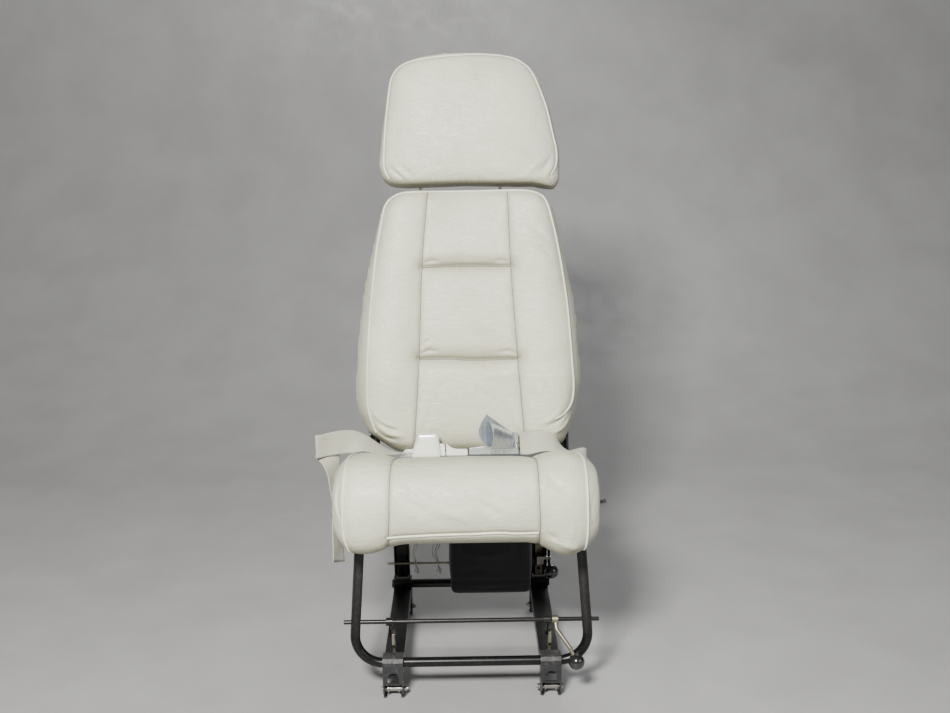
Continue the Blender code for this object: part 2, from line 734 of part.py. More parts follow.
# Tie rod in front of the left upright, with a standoff to the leg and a strap up to the pan
LEFT_UPRIGHT = upright_frame(-1)
TIE_ROD_R = 0.0025
tie_local = Vector((0, UPRIGHT_FRONT - 0.0005 - TIE_ROD_R, 0.0500))
tie_start = LEFT_UPRIGHT @ (tie_local + Vector((-0.031, 0, 0)))
tie_end = LEFT_UPRIGHT @ (tie_local + Vector((0.137, 0, 0)))
tie_rod = add("tie_rod", rod(tie_start, tie_end, TIE_ROD_R, 12), PLATED, tilt_body)
standoff_end = LEFT_UPRIGHT @ Vector((0.0085, leg_front - GAP, tie_local.z))
standoff_start = LEFT_UPRIGHT @ Vector((0.0085, tie_local.y, tie_local.z))
strap_x = tie_end.x - 0.006
strap_top = PAN_FRAME @ Vector((0, REAR_TUBE_Y - TUBE_R - 0.0036, 0.006))
strap_outline = [
    (tie_end.y - 0.0013, tie_end.z), (tie_end.y + 0.0013, tie_end.z),
    (strap_top.y + 0.0013, strap_top.z), (strap_top.y - 0.0013, strap_top.z),
]
join(
    tie_rod,
    rod(standoff_start, standoff_end, 0.0030, 12),
    prism(strap_outline, strap_x - 0.006, strap_x + 0.006),
)

# Cotton ties that hang over the tie rod
for side_name, x in (("left", -0.1210), ("right", -0.0720)):
    front = tie_start.y - TIE_ROD_R - 0.0014
    route = [
        (x + 0.003, front - 0.004, 0.243), (x + 0.005, front - 0.005, 0.215), (x + 0.001, front - 0.003, 0.180),
        (x - 0.006, front - 0.002, 0.155), (x - 0.001, front, tie_start.z + 0.006),
        (x, front, tie_start.z), (x + 0.001, front, tie_start.z - 0.006), (x + 0.004, front + 0.001, 0.116),
        (x + 0.002, front, 0.106),
    ]
    add(f"cover_tie_{side_name}", tube(smooth_route(route, 2), 0.0010, 2), COTTON, tilt_body)

# Stowage pouch under the pan
POUCH_LOW, POUCH_X = 0.095, (-0.043, 0.1300)
pouch_y = (0.262, 0.338)


def pouch_ring(z, inset):
    x0, x1 = POUCH_X[0] + inset, POUCH_X[1] - inset
    y0, y1 = pouch_y[0] + inset / 2, pouch_y[1] - inset / 2
    round_by = 0.008
    corners = [((x1 - round_by, y1 - round_by), 0), ((x0 + round_by, y1 - round_by), 90)]
    corners += [((x0 + round_by, y0 + round_by), 180), ((x1 - round_by, y0 + round_by), 270)]
    ring = []
    for centre, start in corners:
        ring += [(x, y, z) for x, y in arc(centre, round_by, start, start + 90, 3)]
    return ring


def under_pan(y):
    return PAN_Z - math.tan(PAN_SLOPE) * y + (sheet_low - 0.0004) / math.cos(PAN_SLOPE)


pouch_top = under_pan(pouch_y[1])
pouch_rings = [pouch_ring(POUCH_LOW, 0.006), pouch_ring(POUCH_LOW + 0.006, 0.002)]
pouch_rings += [pouch_ring(0.150, 0.0), pouch_ring(pouch_top - 0.01, 0.002)]
pouch_rings += [[(x, y, under_pan(y)) for x, y, _ in pouch_ring(pouch_top, 0.004)]]
add("stowage_pouch", loft(pouch_rings), POUCH, tilt_body)


# Recline hinges
def hinge_outline():
    """The bracket runs from the side tube up to the hinge, with an ear behind for the belt."""
    low = PAN_FRAME @ Vector((0, 0.335, -0.006))
    rear = PAN_FRAME @ Vector((0, PAN_BACK, -0.006))
    top = arc((HINGE_Y, HINGE_Z), 0.016, -20, 170, 10)
    ear = [(HINGE_Y + 0.061, HINGE_Z - 0.039), (HINGE_Y + 0.061, HINGE_Z - 0.011)]
    return [(low.y, low.z), (rear.y, rear.z)] + ear + top + [(low.y + 0.016, low.z + 0.010)]


bracket_in = PAN_HALF + TUBE_R + GAP
plate_in = PAN_HALF + TUBE_R / 2 + 0.0005
for side_name, side in SIDES:
    low, high = sorted((side * bracket_in, side * (bracket_in + BRACKET_THICK)))
    bracket = add(f"recline_bracket_{side_name}", prism(hinge_outline(), low, high), BLACK_PAINT, tilt_body)
    inner, outer = sorted((side * plate_in, side * (bracket_in - GAP)))
    line = ((inner - 1, HINGE_Y, HINGE_Z), (outer + 1, HINGE_Y, HINGE_Z))
    bore = 0.005 + GAP
    cut(bracket, rod(*line, bore))
    reach = bracket_in + BRACKET_THICK + GAP
    bolt = add(
        f"hinge_bolt_{side_name}",
        rod((side * (plate_in - 0.0055), HINGE_Y, HINGE_Z), (side * (reach + 0.004), HINGE_Y, HINGE_Z), 0.005),
        STEEL,
        tilt_body,
    )
    join(
        bolt,
        rod((side * reach, HINGE_Y, HINGE_Z), (side * (reach + 0.005), HINGE_Y, HINGE_Z), 0.0095, 6),
        rod(
            (side * (plate_in - 0.0052), HINGE_Y, HINGE_Z), (side * (plate_in - GAP), HINGE_Y, HINGE_Z),
            0.0085, 6,
        ),
    )
    foot = BACK_FRAME @ Vector((0, 0, 0.088))
    outline = capsule((HINGE_Y, HINGE_Z), (foot.y, foot.z), 0.013)
    plate = add(f"back_hinge_{side_name}", prism(outline, inner, outer), BLACK_PAINT, back_body)
    cut(plate, rod(*line, bore))

# Recline lever: a bent rod along the right side with a bright tip, its pivot on a stub of the bracket
pivot_x = bracket_in + BRACKET_THICK
stub = (pivot_x - 0.001, RECLINE_PIVOT.x + 0.008)
join(
    bpy.data.objects["recline_bracket_right"],
    rod((stub[0], *RECLINE_PIVOT.yz), (stub[1], *RECLINE_PIVOT.yz), 0.004),
    rod((stub[1] - 0.001, *RECLINE_PIVOT.yz), (stub[1] + 0.002, *RECLINE_PIVOT.yz), 0.007, 6),
)
recline_path = [
    RECLINE_PIVOT,
    RECLINE_PIVOT + Vector((0, -0.036, 0)),
    Vector((0.2575, 0.288, 0.302)),
    Vector((0.2600, 0.160, 0.333)),
    Vector((0.2660, 0.100, 0.357)),
]
recline_lever = add(
    "recline_lever", solid_tube(bent(recline_path, 0.018, 3), 0.0040, 3), STEEL, recline_body, smooth=True
)
join(recline_lever, rod((pivot_x + GAP, *RECLINE_PIVOT.yz), (stub[1] - 0.001 - GAP, *RECLINE_PIVOT.yz), 0.0085))
cut(recline_lever, rod((0.2, *RECLINE_PIVOT.yz), (0.3, *RECLINE_PIVOT.yz), 0.004 + GAP))

# Back frame: an inverted hoop with a lower cross tube
LEG_X = plate_in - GAP - TUBE_R
back_path = [(-LEG_X, 0, 0.024), (-LEG_X, 0, 0.110), (-0.180, 0, 0.330), (-0.130, 0, 0.585)]
back_path += [(-x, y, z) for x, y, z in reversed(back_path)]
frame_points = bent(back_path, 0.045, 4)
back_frame = add("back_frame", solid_tube(frame_points, TUBE_R, 4), BLACK_PAINT, back_body, BACK_FRAME, smooth=True)
join(back_frame, rod((-0.19, 0, 0.150), (0.19, 0, 0.150), 0.0080, 16))

# Headrest guides: two sleeves on a cross plate behind the hoop's top
posts_x = [POST_MIDDLE_X - POST_HALF, POST_MIDDLE_X + POST_HALF]
sleeve_r = POST_R + 0.0020
guide_plate = block(
    (posts_x[0] - 0.015, TUBE_R + GAP, 0.560), (posts_x[1] + 0.015, TUBE_R + GAP + 0.0030, 0.594)
)
guides = add("headrest_guides", guide_plate, STEEL, back_body, BACK_FRAME)
for x in posts_x:
    join(guides, rod((x, POST_Y, 0.470), (x, POST_Y, 0.600), sleeve_r))
for x in posts_x:
    cut(guides, rod((x, POST_Y, 0.4), (x, POST_Y, 0.7), POST_R + GAP))

# Soft parts
BACK_WIDTHS = [  # height up the back and half width
    (0.064, 0.165), (0.078, 0.194), (0.100, 0.216), (0.140, 0.2345), (0.190, 0.2415), (0.300, 0.2370),
    (0.366, 0.2300), (0.440, 0.2165), (0.530, 0.1950), (0.585, 0.1840), (0.606, 0.1710), (0.616, 0.150),
]
BACK_HIGH = BACK_WIDTHS[-1][0]


def between(table, value):
    """Straight-line reading of a table of pairs."""
    for (a, b), (c, d) in zip(table, table[1:]):
        if value <= c:
            return b + (d - b) * (value - a) / (c - a)
    return table[-1][1]


def back_ring(z, edge):
    """A level section of the back cushion: flat behind, bolstered in front. edge shrinks an end."""
    half = between(BACK_WIDTHS, z)
    rear = -TUBE_R - 0.001
    fronts = [(0.0, 0.066), (0.35, 0.067), (0.55, 0.073), (0.72, 0.081), (0.86, 0.076), (0.96, 0.050)]
    right = [(half * share, rear - (depth - TUBE_R) * edge) for share, depth in fronts]
    right += [(half, rear - 0.020 * edge), (half * 0.985, rear)]
    ring = right + [(-x, y) for x, y in reversed(right) if x > 0]
    return [(x, y, z) for x, y in ring]


back_levels = [(0.064, 0.50), (0.071, 0.72), (0.095, 0.92), (0.130, 1.0), (0.190, 1.04), (0.260, 1.03)]
back_levels += [(0.350, 1.0), (0.440, 0.97), (0.520, 0.93), (0.580, 0.88), (0.606, 0.76), (0.616, 0.55)]
add("back_cushion", loft([back_ring(z, edge) for z, edge in back_levels]), LEATHER, back_body, BACK_FRAME,
    smooth=True)

shell_front, shell_back = -TUBE_R - 0.001 + GAP, -TUBE_R + BACK_SHELL_DEPTH
shell_right = [(half * 0.985, z) for z, half in BACK_WIDTHS]
shell_outline = shell_right + [(-x, z) for x, z in reversed(shell_right)]
back_panel = add("back_panel", prism(shell_outline, shell_front, shell_back, "Y"), BOARD, back_body, BACK_FRAME)
inner_right = [(half * 0.985 - 2 * SHELL_WALL, z) for z, half in BACK_WIDTHS[1:-1]]
inner_right[0] = (inner_right[0][0], BACK_WIDTHS[0][0] + 2 * SHELL_WALL)
inner_right[-1] = (inner_right[-1][0], BACK_HIGH - 2 * SHELL_WALL)
inner_outline = inner_right + [(-x, z) for x, z in reversed(inner_right)]
cut(back_panel, prism(inner_outline, 2 * shell_front, shell_back - SHELL_WALL, "Y"))
for side in (-1, 1):
    x = side * LEG_X
    cut(back_panel, block((x - 0.016, 2 * shell_front, 0.05), (x + 0.016, TUBE_R + 0.003, 0.13)))
for x in posts_x:
    cut(back_panel, rod((x, POST_Y, 0.55), (x, POST_Y, 0.70), POST_R + 0.002))


# Seat cushion: sections along its width, each a closed (Y, Z) outline in the pan's frame
def cushion_ring(share):
    """share runs from -1 at the left side to 1 at the right."""
    u = abs(share)
    bolster = 0.5 - 0.5 * math.cos(math.pi * min(1, max(0, (u - 0.45) / 0.30)))
    hang = 0.016 * bolster
    top = [
        (0.350, 0.090 + 0.001 * bolster), (0.300, 0.0998 + 0.0008 * bolster), (0.220, 0.105 + 0.024 * bolster),
        (0.120, 0.116 + 0.034 * bolster), (0.040, 0.132 + 0.018 * bolster), (-0.030, 0.143 + 0.004 * bolster),
        (-0.072, 0.135), (-0.098, 0.109), (-0.108, 0.074), (-0.106, 0.036 - hang / 2),
        (-0.096, 0.006 - hang), (-0.075, -0.012 - hang), (-0.050, -0.013 - hang), (-0.036, 0.0),
    ]
    base = sheet_low + PAN_SHEET + GAP
    outline = top + [(-0.036, base), (0.150, base), (0.355, base + 0.012), (0.362, 0.050)]
    end = max(0, (u - 0.84) / 0.16)
    shrink = 1 - 0.34 * end**2.2
    centre = Vector((0.130, 0.062))
    return [
        (centre.x + (a - centre.x) * (0.5 + 0.5 * shrink), centre.y + (b - centre.y) * shrink)
        for a, b in outline
    ]


cushion_shares = [-1, -0.985, -0.95, -0.90, -0.82, -0.72, -0.62, -0.52, -0.42, -0.2, 0]
cushion_shares += [-share for share in reversed(cushion_shares[:-1])]
cushion_rings = []
for share in cushion_shares:
    outline = cushion_ring(share)
    cushion_rings.append([(CUSHION_MIDDLE_X + share * CUSHION_HALF, a, b) for a, b in outline])
add("seat_cushion", loft(cushion_rings), LEATHER, tilt_body, PAN_FRAME, smooth=True)


# Headrest: a cushion on a bent wire that makes both posts
def headrest_ring(z, left, right, depth):
    front, rear = -0.020 - depth, 0.030
    half_ring = [
        (0, front), (0.5, front + 0.002), (0.85, front + 0.008), (0.97, front + 0.022),
        (1, front + 0.040), (0.985, rear - 0.014), (0.93, rear - 0.003), (0.5, rear),
    ]
    ring = [(right * share, y) for share, y in half_ring] + [(0, rear)]
    ring += [(-left * share, y) for share, y in reversed(half_ring[1:])]
    return [(x, y, z) for x, y in ring]


headrest_levels = [  # height, reach to the left and right, depth
    (HEADREST_LOW, 0.140, 0.165, 0.022), (0.638, 0.160, 0.185, 0.036), (0.652, 0.174, 0.200, 0.046),
    (0.690, 0.181, 0.205, 0.050), (0.760, 0.176, 0.192, 0.050), (0.820, 0.169, 0.179, 0.048),
    (0.867, 0.161, 0.163, 0.044), (0.900, 0.145, 0.148, 0.036), (0.920, 0.115, 0.122, 0.024),
    (HEADREST_HIGH, 0.085, 0.095, 0.012),
]
headrest = add(
    "headrest_cushion", loft([headrest_ring(*level) for level in headrest_levels]), LEATHER, headrest_body,
    BACK_FRAME, smooth=True,
)
wire = [(posts_x[0], POST_Y, 0.420), (posts_x[0], POST_Y, 0.780)]
wire += [(posts_x[1], POST_Y, 0.780), (posts_x[1], POST_Y, 0.420)]
wire_points = bent(wire, 0.020, 4)
add("headrest_posts", tube(wire_points, POST_R, 4), STEEL, headrest_body, BACK_FRAME)
pocket = [(posts_x[0], POST_Y, 0.55)] + wire[1:3] + [(posts_x[1], POST_Y, 0.55)]
cut(headrest, solid_tube(bent(pocket, 0.020, 4), POST_R + 2 * GAP, 3))

# Lap belts: webbing on edge along the crease, the left one with a loop and a hanging tail
UP = (0, 0, 1)
left_route = [
    ((-0.136, 0.3137, 0.4268), UP), ((-0.160, 0.3139, 0.4268), UP), ((-0.188, 0.3140, 0.4272), UP),
    ((-0.225, 0.3080, 0.4290), UP),
    ((-0.262, 0.2880, 0.4310), UP), ((-0.292, 0.2660, 0.4320), UP), ((-0.310, 0.2520, 0.4320), UP),
    ((-0.3165, 0.2490, 0.4300), (0.1, 0, 1)), ((-0.3180, 0.2560, 0.4270), (0.25, 0.1, 1)),
    ((-0.3100, 0.2670, 0.4170), (0.6, 0.3, 0.9)), ((-0.2960, 0.2670, 0.3950), (0.5, 0.9, 0.5)),
    ((-0.2830, 0.2520, 0.3650), (0.3, 1, 0.1)), ((-0.2750, 0.2200, 0.3200), (0.3, 1, -0.2)),
    ((-0.2710, 0.1850, 0.2650), (0.35, 1, -0.3)), ((-0.2700, 0.1650, 0.2120), (0.40, 1, -0.2)),
]
add("belt_left_webbing", ribbon(left_route, WEBBING_HALF, WEBBING_THICK), WEBBING, tilt_body)
right_route = [
    ((0.1082, 0.3177, 0.4236), UP),
    ((0.1300, 0.3175, 0.4260), (0, 0.25, 1)),
    ((0.1600, 0.3150, 0.4292), (0, 0.5, 0.87)),
    ((0.1950, 0.3160, 0.4292), (0, 0.55, 0.83)),
    ((0.2270, 0.3240, 0.4225), (0.2, 0.7, 0.65)),
    ((0.2500, 0.3440, 0.3980), (0.4, 0.9, 0.4)),
    ((0.2600, 0.3680, 0.3700), (0.1, 1, 0.3)),
    ((0.2560, 0.3940, 0.3460), (0, 1, 0.25)),
    ((0.2420, 0.4180, 0.3300), (0, 1, 0.1)),
    ((0.2300, 0.4240, 0.3210), (0, 1, 0)),
    ((0.2247, 0.4240, 0.3080), (0, 1, 0)), ((0.2247, 0.4240, 0.2900), (0, 1, 0)),
]
add("belt_right_webbing", ribbon(right_route, WEBBING_HALF, WEBBING_THICK), WEBBING, tilt_body)

# Left belt fittings: the adjuster with its riveted lug, and the tongue
adjuster = add(
    "belt_adjuster", block((-0.122, 0.3010, 0.4010), (-0.060, 0.3130, 0.4420)), BRIGHT, tilt_body
)
rounding = adjuster.modifiers.new("edges", "BEVEL")
rounding.width = 0.004
rounding.segments = 3
join(
    adjuster,
    prism(capsule((-0.143, 0.4120), (-0.110, 0.4140), 0.0095), 0.3105, 0.3125, "Y"),
    rod((-0.143, 0.3080, 0.4120), (-0.143, 0.3110, 0.4120), 0.0028, 16),
    block((-0.062, 0.3030, 0.4030), (-0.047, 0.3125, 0.4370)),
)
tongue_outline = [(-0.0467, 0.4020), (-0.0467, 0.4320), (-0.040, 0.4210), (-0.030, 0.4165)]
tongue_outline += [(-0.003, 0.4160), (-0.003, 0.4020)]
add("belt_tongue", prism(tongue_outline, 0.3085, 0.3110, "Y"), STEEL, tilt_body)

# Buckle: a plate on edge with hinge lugs and an eye, and a curved cover that lifts
buckle = add("buckle_body", block((0.0010, 0.3190, 0.4010), (0.0900, 0.3220, 0.4400)), STEEL, tilt_body)
x, y, z = COVER_PIVOT
lugs = []
for low, high in ((-0.0182, -0.0150), (0.0150, 0.0182)):
    lugs.append(block((x - 0.0035, y - 0.0035, z + low), (x + 0.0035, 0.3200, z + high)))
join(
    buckle,
    block((0.0890, 0.3190, 0.4010), (0.1065, 0.3220, 0.4380)),
    *lugs,
    rod((x, y, z - 0.0155), (x, y, z + 0.0155), 0.0014, 12),
    rod((0.1010, 0.3145, 0.4100), (0.1010, 0.3195, 0.4100), 0.0055, 20),
)
cut(buckle, rod((0.1010, 0.30, 0.4100), (0.1010, 0.33, 0.4100), 0.0028, 16))


def cover_section(distance, skin):
    """A bowed section of the cover at a distance from its hinge."""
    share = distance / 0.064
    half = 0.0175 + 0.0145 * share - skin
    depth = 0.009 + 0.013 * share - skin
    return [
        (-distance, -0.0030 - depth * math.cos(a), 0.0235 * share + half * math.sin(a))
        for a in [math.radians(-90 + 20 * i) for i in range(10)]
    ]


COVER_FRAME = Matrix.Translation(COVER_PIVOT) @ Matrix.Rotation(COVER_OPEN, 4, "Z")
cover_rings = []
for distance in (0.0045, 0.020, 0.035, 0.050, 0.064):
    outside = cover_section(distance, 0)
    inside = cover_section(distance, 0.0014)
    cover_rings.append(outside + list(reversed(inside)))
cover = add("buckle_cover", loft(cover_rings), SATIN, cover_body, COVER_FRAME)
join(
    cover,
    rod((0, 0, -0.0147), (0, 0, 0.0147), 0.0032, 16),
    block((-0.0070, -0.0118, -0.0100), (-0.0005, -0.0022, 0.0100)),
)
cut(cover, rod((0, 0, -0.03), (0, 0, 0.03), 0.0014 + GAP, 12))


# Stand the middle of the footprint on the world origin
def centre_on_origin():
    bpy.context.view_layer.update()
    graph = bpy.context.evaluated_depsgraph_get()
    low, high = Vector((9, 9, 9)), Vector((-9, -9, -9))
    for item in parts.objects:
        solid = item.evaluated_get(graph)
        data = solid.to_mesh()
        for vertex in data.vertices:
            spot = solid.matrix_world @ vertex.co
            low = Vector(map(min, low, spot))
            high = Vector(map(max, high, spot))
        solid.to_mesh_clear()
    middle = (low + high) / 2
    seat_origin.location = (-middle.x, -middle.y, -low.z)
    bpy.context.view_layer.update()


centre_on_origin()
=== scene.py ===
# %% [markdown]
# # An aircraft crew seat, dressed for the camera
# The solid model of the seat is already there: every tube, pin, lever and roller in its place.
# This script keeps those pieces where they are, gives each a surface that looks used, and swaps the
# soft pieces (cushions, belts, pouch and cotton ties) for ones that look sewn, stuffed and sat on.
# It starts by loading the model and measuring it.

import math

import bmesh
import bpy
import numpy as np
from mathutils import Matrix, Vector
from mathutils.bvhtree import BVHTree
from mathutils.kdtree import KDTree


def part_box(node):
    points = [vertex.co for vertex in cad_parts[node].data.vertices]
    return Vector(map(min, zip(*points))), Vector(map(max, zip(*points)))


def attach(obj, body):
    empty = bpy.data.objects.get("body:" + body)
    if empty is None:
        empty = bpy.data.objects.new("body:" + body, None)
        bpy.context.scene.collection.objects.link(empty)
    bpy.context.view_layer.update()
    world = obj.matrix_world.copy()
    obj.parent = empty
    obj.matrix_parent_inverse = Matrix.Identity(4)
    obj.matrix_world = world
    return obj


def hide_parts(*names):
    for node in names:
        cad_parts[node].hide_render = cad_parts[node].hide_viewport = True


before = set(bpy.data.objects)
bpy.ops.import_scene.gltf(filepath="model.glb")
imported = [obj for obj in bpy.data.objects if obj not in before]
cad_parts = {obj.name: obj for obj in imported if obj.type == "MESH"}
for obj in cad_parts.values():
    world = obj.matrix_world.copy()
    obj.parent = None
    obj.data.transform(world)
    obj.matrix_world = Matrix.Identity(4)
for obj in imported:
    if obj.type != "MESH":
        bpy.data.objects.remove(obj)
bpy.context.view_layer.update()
print("pieces loaded:", len(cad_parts))

# %% [markdown]
# ## Where things are
# The seat's drawing starts from the middle of its front cross tube, on the floor. Two solid pieces tell
# where that point is now: the rear cross tube gives its X and a front roller gives its Y. The seat pan
# slopes 8 degrees and the back leans 12, so each has its own set of axes. A point drawn on the pan or
# the back is then simple to place, and the leaning is done once, here.

# %% Axes of the seat, the pan and the back
PAN_HEIGHT, PAN_SLOPE = 0.342, 8
BACK_FOOT, BACK_LEAN = (0, 0.385, 0.327), 12


def middle_of(node):
    low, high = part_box(node)
    return (Vector(low) + Vector(high)) / 2


ORIGIN = Matrix.Translation((middle_of("rear_cross_tube").x, middle_of("front_roller_left").y, 0))
PAN = ORIGIN @ Matrix.Translation((0, 0, PAN_HEIGHT)) @ Matrix.Rotation(math.radians(-PAN_SLOPE), 4, "X")
BACK = ORIGIN @ Matrix.Translation(BACK_FOOT) @ Matrix.Rotation(math.radians(-BACK_LEAN), 4, "X")
print("drawing origin:", [round(value, 4) for value in ORIGIN.translation])

# %% [markdown]
# ## The camera
# The picture was taken from standing height, a little over two metres away, looking slightly down.
# The camera is built from three directions: where it looks, its right and its up. A very small roll is
# kept, because the seat leans a little in the picture.

# %% Camera
PITCH, YAW, ROLL = math.radians(12.345), math.radians(0.379), math.radians(-0.76)
CAMERA_SPOT, LENS = (-0.0005, -2.153, 1.1456), 45.61
look_dir = Vector((math.sin(YAW) * math.cos(PITCH), math.cos(YAW) * math.cos(PITCH), -math.sin(PITCH)))
flat_right = Vector((math.cos(YAW), -math.sin(YAW), 0))
flat_up = flat_right.cross(look_dir)
right = flat_right * math.cos(ROLL) + flat_up * math.sin(ROLL)
up = flat_up * math.cos(ROLL) - flat_right * math.sin(ROLL)
turn = Matrix((right, up, -look_dir)).transposed().to_4x4()

camera_data = bpy.data.cameras.new("camera")
camera_data.sensor_width = 36
camera_data.lens = LENS
camera = bpy.data.objects.new("camera", camera_data)
bpy.context.scene.collection.objects.link(camera)
camera.matrix_world = ORIGIN @ Matrix.Translation(CAMERA_SPOT) @ turn
bpy.context.scene.camera = camera
print("camera at", [round(value, 3) for value in camera.matrix_world.translation])

# %% [markdown]
# ## Floor and light
# A plain pale floor that curves up behind keeps the eye on the seat. The main light is soft and stands
# near the camera, a little higher and to the left, so that what faces the camera is bright and what
# turns away gets dark. That is what shows the fullness of leather. A weaker light on the right fills
# the shadows, and one behind draws a thin bright line on the edges.

# %% Floor, lights and sky
def new_object(name, data):
    made = bpy.data.objects.new(name, data)
    bpy.context.scene.collection.objects.link(made)
    return made


BEND_START, BEND_RADIUS = 1.2, 1.6
sweep = [(-5.0, 0.0), (BEND_START, 0.0)]
sweep += [
    (BEND_START + BEND_RADIUS * math.sin(a), BEND_RADIUS - BEND_RADIUS * math.cos(a))
    for a in np.radians(np.linspace(6, 90, 15))
]
sweep += [(BEND_START + BEND_RADIUS, 5.0)]
floor_data = bpy.data.meshes.new("floor")
floor_data.from_pydata(
    [(x, y, z) for y, z in sweep for x in (-6, 6)],
    [],
    [(2 * i, 2 * i + 1, 2 * i + 3, 2 * i + 2) for i in range(len(sweep) - 1)],
)
floor_data.polygons.foreach_set("use_smooth", [True] * len(floor_data.polygons))
floor = new_object("floor", floor_data)


def soft_light(name, place, target, width, power, tint=(1, 1, 1)):
    lamp = bpy.data.lights.new(name, "AREA")
    lamp.shape, lamp.size, lamp.size_y = "RECTANGLE", width, width * 0.8
    lamp.energy, lamp.color = power, tint
    stand = new_object(name, lamp)
    stand.location = place
    stand.rotation_euler = (Vector(target) - Vector(place)).to_track_quat("-Z", "Y").to_euler()


soft_light("key_light", (-0.55, -2.5, 2.15), (0, 0, 0.6), 0.55, 215, (1, 0.985, 0.95))
soft_light("fill_light", (2.1, -1.6, 1.3), (0, 0, 0.5), 1.6, 14, (0.95, 0.97, 1))
soft_light("edge_light", (0.8, 2.2, 2.4), (0, 0, 0.8), 1.4, 26)
sky = bpy.data.worlds.new("sky")
bpy.context.scene.world = sky
sky.use_nodes = True
glow = sky.node_tree.nodes["Background"].inputs
glow["Color"].default_value = (0.80, 0.82, 0.85, 1)
glow["Strength"].default_value = 0.09
print("lights:", len(bpy.data.lights), "and a weak sky")

# %% [markdown]
# ## Small helpers for shaders
# A shader is a little machine of boxes and wires. These helpers place a box, set its dials, plug in its
# wires and hand back the output, so that one line of code is one box. `mix` blends two colours and
# `spread` stretches a narrow band of a pattern to the full 0 to 1, which is how a faint noise becomes a
# clear stain or scratch.

# %% Shader helpers
def box_of(tree, kind, out=0, settings=(), **dials):
    made = tree.nodes.new("ShaderNode" + kind)
    for key, value in dict(settings).items():
        setattr(made, key, value)
    for key, value in dials.items():
        socket = made.inputs[int(key[1:])] if key[1:].isdigit() else made.inputs[key.replace("_", " ")]
        if isinstance(value, bpy.types.NodeSocket):
            tree.links.new(value, socket)
        else:
            socket.default_value = value
    return made.outputs[out]


def mix(tree, amount, first, second, way="MIX"):
    settings = {"data_type": "RGBA", "blend_type": way}
    return box_of(tree, "Mix", 2, settings, i0=amount, i6=first, i7=second)


def calc(tree, way, first, second=0.0):
    return box_of(tree, "Math", 0, {"operation": way}, i0=first, i1=second)


def add_up(tree, first, second):
    return calc(tree, "ADD", first, second)


def times(tree, first, second):
    return calc(tree, "MULTIPLY", first, second)


def spread(tree, value, low, high, to_low=0.0, to_high=1.0):
    return box_of(tree, "MapRange", 0, (), i0=value, i1=low, i2=high, i3=to_low, i4=to_high)


def noise(tree, place, scale, detail=3.0, rough=0.55, bend=0.0):
    return box_of(tree, "TexNoise", 0, (), Vector=place, Scale=scale, Detail=detail, Roughness=rough,
                  Distortion=bend)


def stretched(tree, place, scale):
    return box_of(tree, "Mapping", 0, (), Vector=place, Scale=scale)


small_helpers = (box_of, mix, calc, add_up, times, spread, noise, stretched)
print("shader helpers:", ", ".join(helper.__name__ for helper in small_helpers))

# %% [markdown]
# ## Shader groups
# An effect that several materials share is built once, as a group with named inputs and outputs. Each
# material then places the group and sets its own values. A group gives a colour, a roughness and a
# height; the shader that uses them stays in the material.

# %% Group helpers
def new_group(name, takes, gives):
    """An empty group of boxes with named inputs and outputs."""
    tree = bpy.data.node_groups.new(name, "ShaderNodeTree")
    for label, kind, value in takes:
        socket = tree.interface.new_socket(label, in_out="INPUT", socket_type="NodeSocket" + kind)
        socket.default_value = value
    for label, kind in gives:
        tree.interface.new_socket(label, in_out="OUTPUT", socket_type="NodeSocket" + kind)
    return tree, tree.nodes.new("NodeGroupInput").outputs, tree.nodes.new("NodeGroupOutput").inputs


def use_group(tree, group, **dials):
    made = tree.nodes.new("ShaderNodeGroup")
    made.node_tree = group
    for key, value in dials.items():
        made.inputs[key.replace("_", " ")].default_value = value
    return made.outputs


FINISH = [("Colour", "Color"), ("Roughness", "Float"), ("Height", "Float")]
print("each finish gives:", ", ".join(label for label, _ in FINISH))

# %% [markdown]
# ## Leather
# Soft leather is never one colour. The group mixes slow, broad tone changes and a warm soil that gathers
# in places, and paints shade: a slight darkening along seams and on undersides (the mesh carries two
# numbers, `seam` and `painted_shade`, for that).
# Its height is made of pebbles, fine pores and long crossing creases. The tones are small: old cream
# leather looks even from far away and alive only from near.

# %% Leather group
leather, given, wanted = new_group(
    "leather",
    [("Colour", "Color", (0.6, 0.58, 0.5, 1)), ("Soil", "Float", 0.3), ("Grain", "Float", 1.0)],
    FINISH,
)
where = box_of(leather, "TexCoord", 3)
broad = noise(leather, where, 5.0, 4.0)
patch = noise(leather, where, 13.0, 6.0, 0.6, 0.6)
pebble = box_of(
    leather, "TexVoronoi", 0, {"feature": "SMOOTH_F1"}, Vector=where, Scale=520.0, Smoothness=0.6
)
pores = noise(leather, where, 1100.0, 2.0)
crease_a = noise(leather, stretched(leather, where, (22.0, 30.0, 60.0)), 1.6, 8.0, 0.62, 1.2)
ridge = calc(leather, "ABSOLUTE", calc(leather, "SUBTRACT", crease_a, 0.5))
crease = spread(leather, ridge, 0.0, 0.06, 1.0, 0.0)
pale = mix(leather, spread(leather, broad, 0.35, 0.65), (0.93, 0.93, 0.925, 1), (1.03, 1.03, 1.035, 1))
tinted = mix(leather, 1.0, given["Colour"], pale, "MULTIPLY")
soil = times(leather, spread(leather, patch, 0.50, 0.78), given["Soil"])
soiled = mix(leather, soil, tinted, (0.44, 0.38, 0.28, 1))
creased = mix(leather, times(leather, crease, 0.10), soiled, (0.36, 0.33, 0.27, 1))
# painted shade: undersides and the leather beside seams are darkened towards brown-grey
painted_shade = box_of(leather, "Attribute", 2, {"attribute_name": "painted_shade"})
shaded_colour = mix(leather, painted_shade, creased, (0.27, 0.25, 0.175, 1))
# painted shade: the leather goes dark in the seam and tuft grooves
seam = box_of(leather, "Attribute", 2, {"attribute_name": "seam"})
leather.links.new(mix(leather, seam, shaded_colour, (0.13, 0.12, 0.095, 1)), wanted["Colour"])
shine = spread(leather, patch, 0.3, 0.7, 0.40, 0.54)
